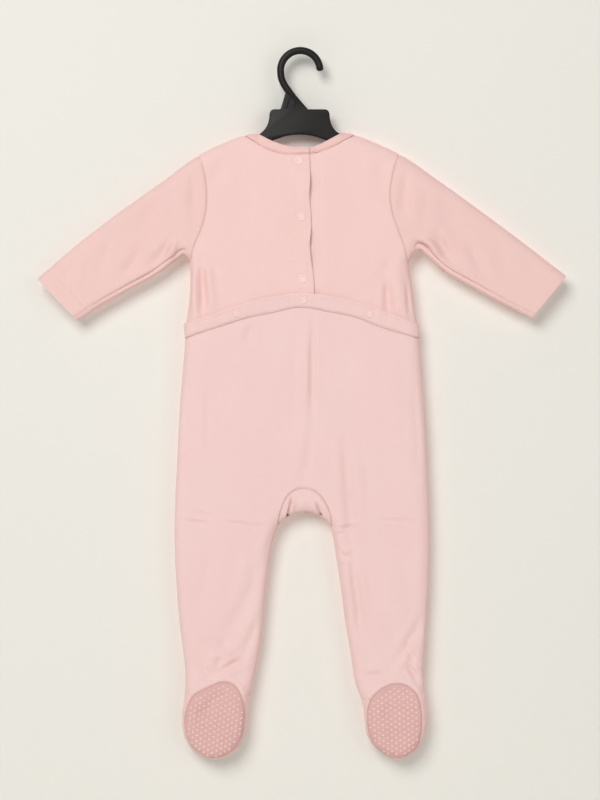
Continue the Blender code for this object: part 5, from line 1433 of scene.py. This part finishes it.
for hand, piece, cuff, key in (("left", leftSleevePiece, leftCuff, "sleeveLeft"),
                               ("right", rightSleevePiece, rightCuff, "sleeveRight")):
    inner = beside(cuff, rowGaps["cuff"])
    if abs(inner.at(0.5)[0]) > abs(cuff.at(0.5)[0]):
        inner = beside(cuff, -rowGaps["cuff"])
    inner = inner.part(0.02, 0.98)
    for side, word in ((back, "Back"), (front, "Front")):
        addThread(key, "threadCuff" + hand.capitalize() + word, piece, inner, side)
print("stitched")

# ring snaps
snapLook = {
    "radius": 4.35, "high": 1.15, "rim": 1.35, "round": 0.3,
    "wall": 0.45, "dish": 0.55,            # the dished middle and the slope down to it
    "floor": 1.2, "buttonWall": 0.25, "button": 0.18,
    "lift": 0.05, "seatRadius": 4.0,
}


def snapShape():
    bpy.ops.object.select_all(action="DESELECT")
    bpy.ops.mesh.primitive_cylinder_add(vertices=48, radius=snapLook["radius"], depth=snapLook["high"],
                                        location=(0, 0, snapLook["high"] / 2))
    obj = bpy.context.object
    bpy.ops.object.mode_set(mode="EDIT")
    bpy.ops.mesh.select_mode(type="FACE")
    bm = bmesh.from_edit_mesh(obj.data)
    for face in bm.faces:
        face.select_set(face.normal.z > 0.9)
    bmesh.update_edit_mesh(obj.data)
    bpy.ops.mesh.inset(thickness=snapLook["rim"], depth=0.0)
    bpy.ops.mesh.inset(thickness=snapLook["wall"], depth=-snapLook["dish"])
    bpy.ops.mesh.inset(thickness=snapLook["floor"], depth=0.0)
    bpy.ops.mesh.inset(thickness=snapLook["buttonWall"], depth=snapLook["button"])
    bpy.ops.object.mode_set(mode="OBJECT")
    edge = obj.modifiers.new("rounded", "BEVEL")
    edge.width, edge.segments, edge.limit_method = snapLook["round"], 3, "ANGLE"
    edge.angle_limit = math.radians(30)
    bpy.ops.object.modifier_apply(modifier=edge.name)
    return takeShape(obj)


snapVerts, snapFaces = snapShape()
for name, x, z, carrier in snapPlaces:
    piece = band if carrier == "band" else upperBackLeft
    around = np.linspace(0, math.tau, 8, endpoint=False)
    atX, atZ = x + snapLook["seatRadius"] * np.cos(around), z + snapLook["seatRadius"] * np.sin(around)
    ring, _, _ = clothPoint(piece, atX, atZ, np.full(8, -1.0))
    centre = ring.mean(axis=0)
    n = unit(np.cross(ring[0] - ring[4], ring[2] - ring[6]))
    n = -n if n[1] > 0 else n
    u = unit(ring[0] - ring[4])
    v = np.cross(n, u)
    points = centre + snapVerts[:, :1] * u + snapVerts[:, 1:2] * v + (snapVerts[:, 2:] + snapLook["lift"]) * n
    word = "".join(part.capitalize() for part in name.split("_")[1:])
    finishObject(makeMesh("snap" + word, points * mm, snapFaces, snapPink), 35.0)
    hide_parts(name)
print("snaps set")

# hanger, one moulding: plate and arms, then the hook
hangerLook = {
    "bar": 3.85, "hookRadius": 20.65, "plate": 5.0, "middle": -0.8,
    "armDrop": 3.0, "armDeep": 9.5, "armReach": 97.0,
    "plateTop": [(26.5, -57.9), (28.6, -58.3), (30.2, -59.6), (31.2, -61.3), (31.6, -63.4), (31.7, -66.2),
                 (32.2, -69.0), (33.0, -72.4), (34.4, -75.6), (36.3, -78.6), (38.8, -81.4)],
    "arch": [(30.8, -92.2), (27.0, -90.2), (23.0, -88.7), (18.2, -87.0), (13.0, -85.6), (6.6, -84.7),
             (0.0, -84.5)],
    "neck": [(-20.6, -57.9), (-15.4, -40.0), (-12.8, -37.4), (-8.9, -38.3), (8.1, -57.9)],
}


def armEdges(shoulder, hand):
    run = shoulder.at(np.linspace(0.0, 1.0, 200))
    ahead = np.gradient(run, axis=0)
    ahead /= np.linalg.norm(ahead, axis=1, keepdims=True)
    down = np.stack([ahead[:, 1], -ahead[:, 0]], axis=-1)
    down *= np.where(down[:, 1:] > 0, -1.0, 1.0)
    upper = run + down * hangerLook["armDrop"]
    wanted = np.linspace(46.0, hangerLook["armReach"], 12)
    order = np.argsort(upper[:, 0] * hand)
    z = np.interp(wanted, (upper[:, 0] * hand)[order], upper[order, 1])
    top = [(hand * w, v) for w, v in zip(wanted, z)]
    deep = hangerLook["armDeep"] * np.linspace(1.0, 0.75, len(wanted))
    low = [(hand * w, v - d) for w, v, d in zip(wanted, z, deep)]
    return top, low[::-1]


def mouldHanger():
    mid = hangerLook["middle"]
    rightTop, rightLow = armEdges(topRight, 1)
    leftTop, leftLow = armEdges(topLeft, -1)
    tipR = (rightTop[-1][0] + 2.6, (rightTop[-1][1] + rightLow[0][1]) / 2 - 1.2)
    tipL = (leftTop[-1][0] - 2.6, (leftTop[-1][1] + leftLow[0][1]) / 2 - 1.2)
    right = [(mid + w, z) for w, z in hangerLook["plateTop"]] + rightTop
    left = [(mid - w, z) for w, z in hangerLook["plateTop"]] + leftTop
    underR = rightLow + [(mid + w, z) for w, z in hangerLook["arch"]]
    underL = leftLow + [(mid - w, z) for w, z in hangerLook["arch"][:-1]]
    edge = hangerLook["neck"] + right + [tipR] + underR + underL[::-1] + [tipL] + left[::-1]
    half = hangerLook["plate"] / 2
    bpy.ops.object.select_all(action="DESELECT")
    bpy.ops.mesh.primitive_circle_add(vertices=len(edge), radius=0.05, fill_type="NGON", location=(0, 0, 0))
    plate = bpy.context.object
    plate.name = plate.data.name = "hangerMoulding"
    plate.data.materials.append(hangerBlack)
    for vertex, (x, z) in zip(plate.data.vertices, edge):
        vertex.co = (x * mm, -half * mm, z * mm)
    bpy.ops.object.mode_set(mode="EDIT")
    bpy.ops.mesh.select_all(action="SELECT")
    bpy.ops.mesh.extrude_region_move(TRANSFORM_OT_translate={"value": (0, 2 * half * mm, 0)})
    bpy.ops.object.mode_set(mode="OBJECT")
    faceOutward(plate)
    rounded = plate.modifiers.new("rounded", "BEVEL")
    rounded.width, rounded.segments, rounded.limit_method = 1.5 * mm, 4, "ANGLE"
    rounded.angle_limit = math.radians(50)
    bpy.ops.object.modifier_apply(modifier=rounded.name)
    return plate


def hookBar():
    # a round bar extruded along its bend, a ring at a time
    bar, radius = hangerLook["bar"], hangerLook["hookRadius"]
    centre = -(radius - bar)
    sweep = [math.radians(a) for a in range(6, 182, 5)]
    path = [(radius * math.cos(a), centre + radius * math.sin(a)) for a in sweep]
    bend = Curve([path[-1], (-19.9, -24.6), (-17.4, -31.0), (-13.6, -37.0), (-9.2, -42.6), (-4.6, -48.3),
                  (0.0, -53.6), (5.2, -60.2)], 2.0)
    path += [tuple(p) for p in bend.at(np.linspace(0, 1, 26))[1:]]
    path = np.array(path)
    ahead = np.gradient(path, axis=0)
    ahead /= np.linalg.norm(ahead, axis=1, keepdims=True)
    tip = [(path[0] - ahead[0] * t, s) for t, s in ((3.0, 0.25), (2.7, 0.55), (2.0, 0.8), (1.1, 0.95))]
    # the bar thins as it sinks into the neck of the plate
    rings = [(p, ahead[0], s) for p, s in tip]
    rings += [(p, a, 1.0 - 0.42 * smooth(-p[1], 38.0, 59.0)) for p, a in zip(path, ahead)]
    bpy.ops.object.select_all(action="DESELECT")
    bpy.ops.mesh.primitive_circle_add(vertices=20, radius=bar, fill_type="NGON", location=(0, 0, 0))
    hook = bpy.context.object
    hook.name = hook.data.name = "hookBar"
    around = np.arange(20) / 20 * math.tau

    def ringPoints(spot, way, scale):
        side = np.array([-way[1], way[0]])
        flat = spot[None] + np.cos(around)[:, None] * side[None] * bar * scale
        return [(f[0] * mm, math.sin(a) * bar * scale * mm, f[1] * mm) for f, a in zip(flat, around)]
    for vertex, p in zip(hook.data.vertices, ringPoints(*rings[0])):
        vertex.co = p
    bpy.ops.object.mode_set(mode="EDIT")
    bpy.ops.mesh.select_mode(type="FACE")
    bpy.ops.mesh.select_all(action="SELECT")
    for ring in rings[1:]:
        bpy.ops.mesh.extrude_region_move(TRANSFORM_OT_translate={"value": (0, 0, 0)})
        bm = bmesh.from_edit_mesh(hook.data)
        face = next(f for f in bm.faces if f.select)
        for vertex, p in zip([c.vert for c in face.loops], ringPoints(*ring)):
            vertex.co = p
        bmesh.update_edit_mesh(hook.data)
    bpy.ops.object.mode_set(mode="OBJECT")
    faceOutward(hook)
    return hook


def ribBars():
    # two shallow ribs up the neck, from a cube drawn out and its edges rounded
    made = []
    for x0, z0, x1, z1 in ((-14.6, -57.0, -9.8, -43.4), (-6.6, -57.2, -5.0, -47.0)):
        bpy.ops.object.select_all(action="DESELECT")
        bpy.ops.mesh.primitive_cube_add(size=1.0, location=((x0 + x1) / 2 * mm, 0, (z0 + z1) / 2 * mm))
        rib = bpy.context.object
        length = math.hypot(x1 - x0, z1 - z0)
        rib.scale = (1.2 * mm, (hangerLook["plate"] + 0.9) * mm, length * mm)
        rib.rotation_euler = (0, math.atan2(x1 - x0, z1 - z0), 0)
        bpy.ops.object.transform_apply(location=True, rotation=True, scale=True)
        soft = rib.modifiers.new("rounded", "BEVEL")
        soft.width, soft.segments = 0.45 * mm, 2
        bpy.ops.object.modifier_apply(modifier=soft.name)
        made.append(rib)
    return made


hanger = mouldHanger()
for extra in [hookBar()] + ribBars():
    union = hanger.modifiers.new("union", "BOOLEAN")
    union.operation, union.solver, union.object = "UNION", "EXACT", extra
    activate(hanger)
    bpy.ops.object.modifier_apply(modifier=union.name)
    bpy.data.objects.remove(extra, do_unlink=True)
finishObject(hanger, 32.0)
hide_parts("hanger")
print("hanger moulded:", len(hanger.data.polygons), "faces")

# what each cloth piece stands for, its cut laid flat, and what holds it
cuts = [
    (leftBack, "upper_back_left", "body_cotton", (0.14, 0.23), "hung", ["hanger"], threads["upperBackLeft"]),
    (rightBack, "upper_back_right", "body_cotton", (0.14, 0.23), "hung", ["hanger"], []),
    (collar, "neck_binding", "binding_cotton", (0.3, 0.012), "hung", ["hanger"], threads["neckBinding"]),
    (seatStrip, "seat_band", "seat_cotton", (0.275, 0.018), "hung", ["upper_back_left"], threads["seatBand"]),
    (frontCloth, "front", "body_cotton", (0.28, 0.58), "hung", ["hanger"], []),
    (seatCloth, "lower_back", "seat_cotton", (0.29, 0.42), "hung", ["seat_band"], []),
    (gussetCloth, "crotch_gusset", "seat_cotton", (0.056, 0.036), "hung", ["lower_back"], []),
    (leftSleeve, "sleeve_left", "sleeve_cotton", (0.25, 0.2), "hung", ["hanger"], threads["sleeveLeft"]),
    (rightSleeve, "sleeve_right", "sleeve_cotton", (0.25, 0.2), "hung", ["hanger"], threads["sleeveRight"]),
    (footUppers["left"], "foot_upper_left", "body_cotton", (0.12, 0.12), "hung", ["front"], []),
    (footUppers["right"], "foot_upper_right", "body_cotton", (0.12, 0.12), "hung", ["front"], []),
    (soles["left"], "sole_left", "sole_cotton", (0.07, 0.085), "hung", ["foot_upper_left"],
     [gripObjects["left"]]),
    (soles["right"], "sole_right", "sole_cotton", (0.07, 0.085), "hung", ["foot_upper_right"],
     [gripObjects["right"]]),
]
for obj, node, slotName, flat, held, on, extras in cuts:
    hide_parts(node)
    box = flat[0] * flat[1]
    area = sum(p.area for p in obj.data.polygons) / 2
    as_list(on)
    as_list(extras)
    print("cut", node, flat, "area", round(area, 5), "of", round(box, 5))

# room, light and camera
stage = {"wallY": 0.0185, "floorZ": -1.1, "half": 1.6, "front": -1.6, "bend": 0.25, "top": 1.1}


def wallMaterial():
    material, tree, shader = startMaterial("paleWall", Roughness=0.95, Specular_IOR_Level=0.1)
    slow = noiseNode(tree, tree.nodes.new("ShaderNodeTexCoord"), 2.2)
    tone = mixNode(tree, slow.outputs["Fac"], (0.74, 0.73, 0.69), (0.765, 0.755, 0.715))
    tree.links.new(tone, shader.inputs["Base Color"])
    clear = tree.nodes.new("ShaderNodeBsdfTransparent")
    sort = tree.nodes.new("ShaderNodeMixShader")
    geometry = tree.nodes.new("ShaderNodeNewGeometry")
    tree.links.new(geometry.outputs["Backfacing"], sort.inputs["Fac"])
    tree.links.new(shader.outputs["BSDF"], sort.inputs[1])
    tree.links.new(clear.outputs["BSDF"], sort.inputs[2])
    tree.links.new(sort.outputs["Shader"], tree.nodes["Material Output"].inputs["Surface"])
    return material


def makeWall():
    # one sheet: floor, a soft bend, and the wall behind the suit; seen only from the front
    run = [(stage["front"], stage["floorZ"])]
    for a in np.linspace(0, math.pi / 2, 12):
        run.append((stage["wallY"] - stage["bend"] * (1 - math.sin(a)),
                    stage["floorZ"] + stage["bend"] * (1 - math.cos(a))))
    run.append((stage["wallY"], stage["top"]))
    points = [(x, y, z) for y, z in run for x in (-stage["half"], stage["half"])]
    faces = [(2 * i, 2 * i + 1, 2 * i + 3, 2 * i + 2) for i in range(len(run) - 1)]
    wall = makeMesh("paleSweep", points, faces, wallMaterial())
    for p in wall.data.polygons:
        p.use_smooth = True
    wall.visible_shadow = False
    return wall


wall = makeWall()


def softLight(name, place, aim, size, watts, colour=(1, 1, 1)):
    data = bpy.data.lights.new(name, "AREA")
    data.shape, data.size, data.energy, data.color = "DISK", size, watts, colour
    lamp = bpy.data.objects.new(name, data)
    bpy.context.scene.collection.objects.link(lamp)
    lamp.location = place
    lamp.rotation_mode = "QUATERNION"
    way = np.array(place) - np.array(aim)
    lamp.rotation_quaternion = Vector(way).to_track_quat("Z", "Y")


aim = (0.0, 0.0, -0.36)
softLight("key", (-0.9, -2.6, 1.0), aim, 1.7, 64.0, (1.0, 0.99, 0.975))
softLight("fill", (1.5, -2.2, -0.1), aim, 1.8, 11.0, (1.0, 0.99, 0.975))
softLight("rearKey", (0.9, 2.6, 1.0), aim, 1.7, 60.0)
softLight("rearFill", (-1.5, 2.2, -0.2), aim, 1.8, 14.0)
world = bpy.data.worlds.new("paleRoom")
world.use_nodes = True
world.node_tree.nodes["Background"].inputs["Color"].default_value = (1.0, 0.985, 0.95, 1)
world.node_tree.nodes["Background"].inputs["Strength"].default_value = 0.3
bpy.context.scene.world = world
bpy.context.scene.view_settings.view_transform = "Standard"

cameraData = bpy.data.cameras.new("camera")
cameraData.lens = 85.0
camera = bpy.data.objects.new("camera", cameraData)
bpy.context.scene.collection.objects.link(camera)
camera.location = (-0.0003, -1.983, -0.363)
camera.rotation_euler = (math.pi / 2, 0, 0)
bpy.context.scene.camera = camera
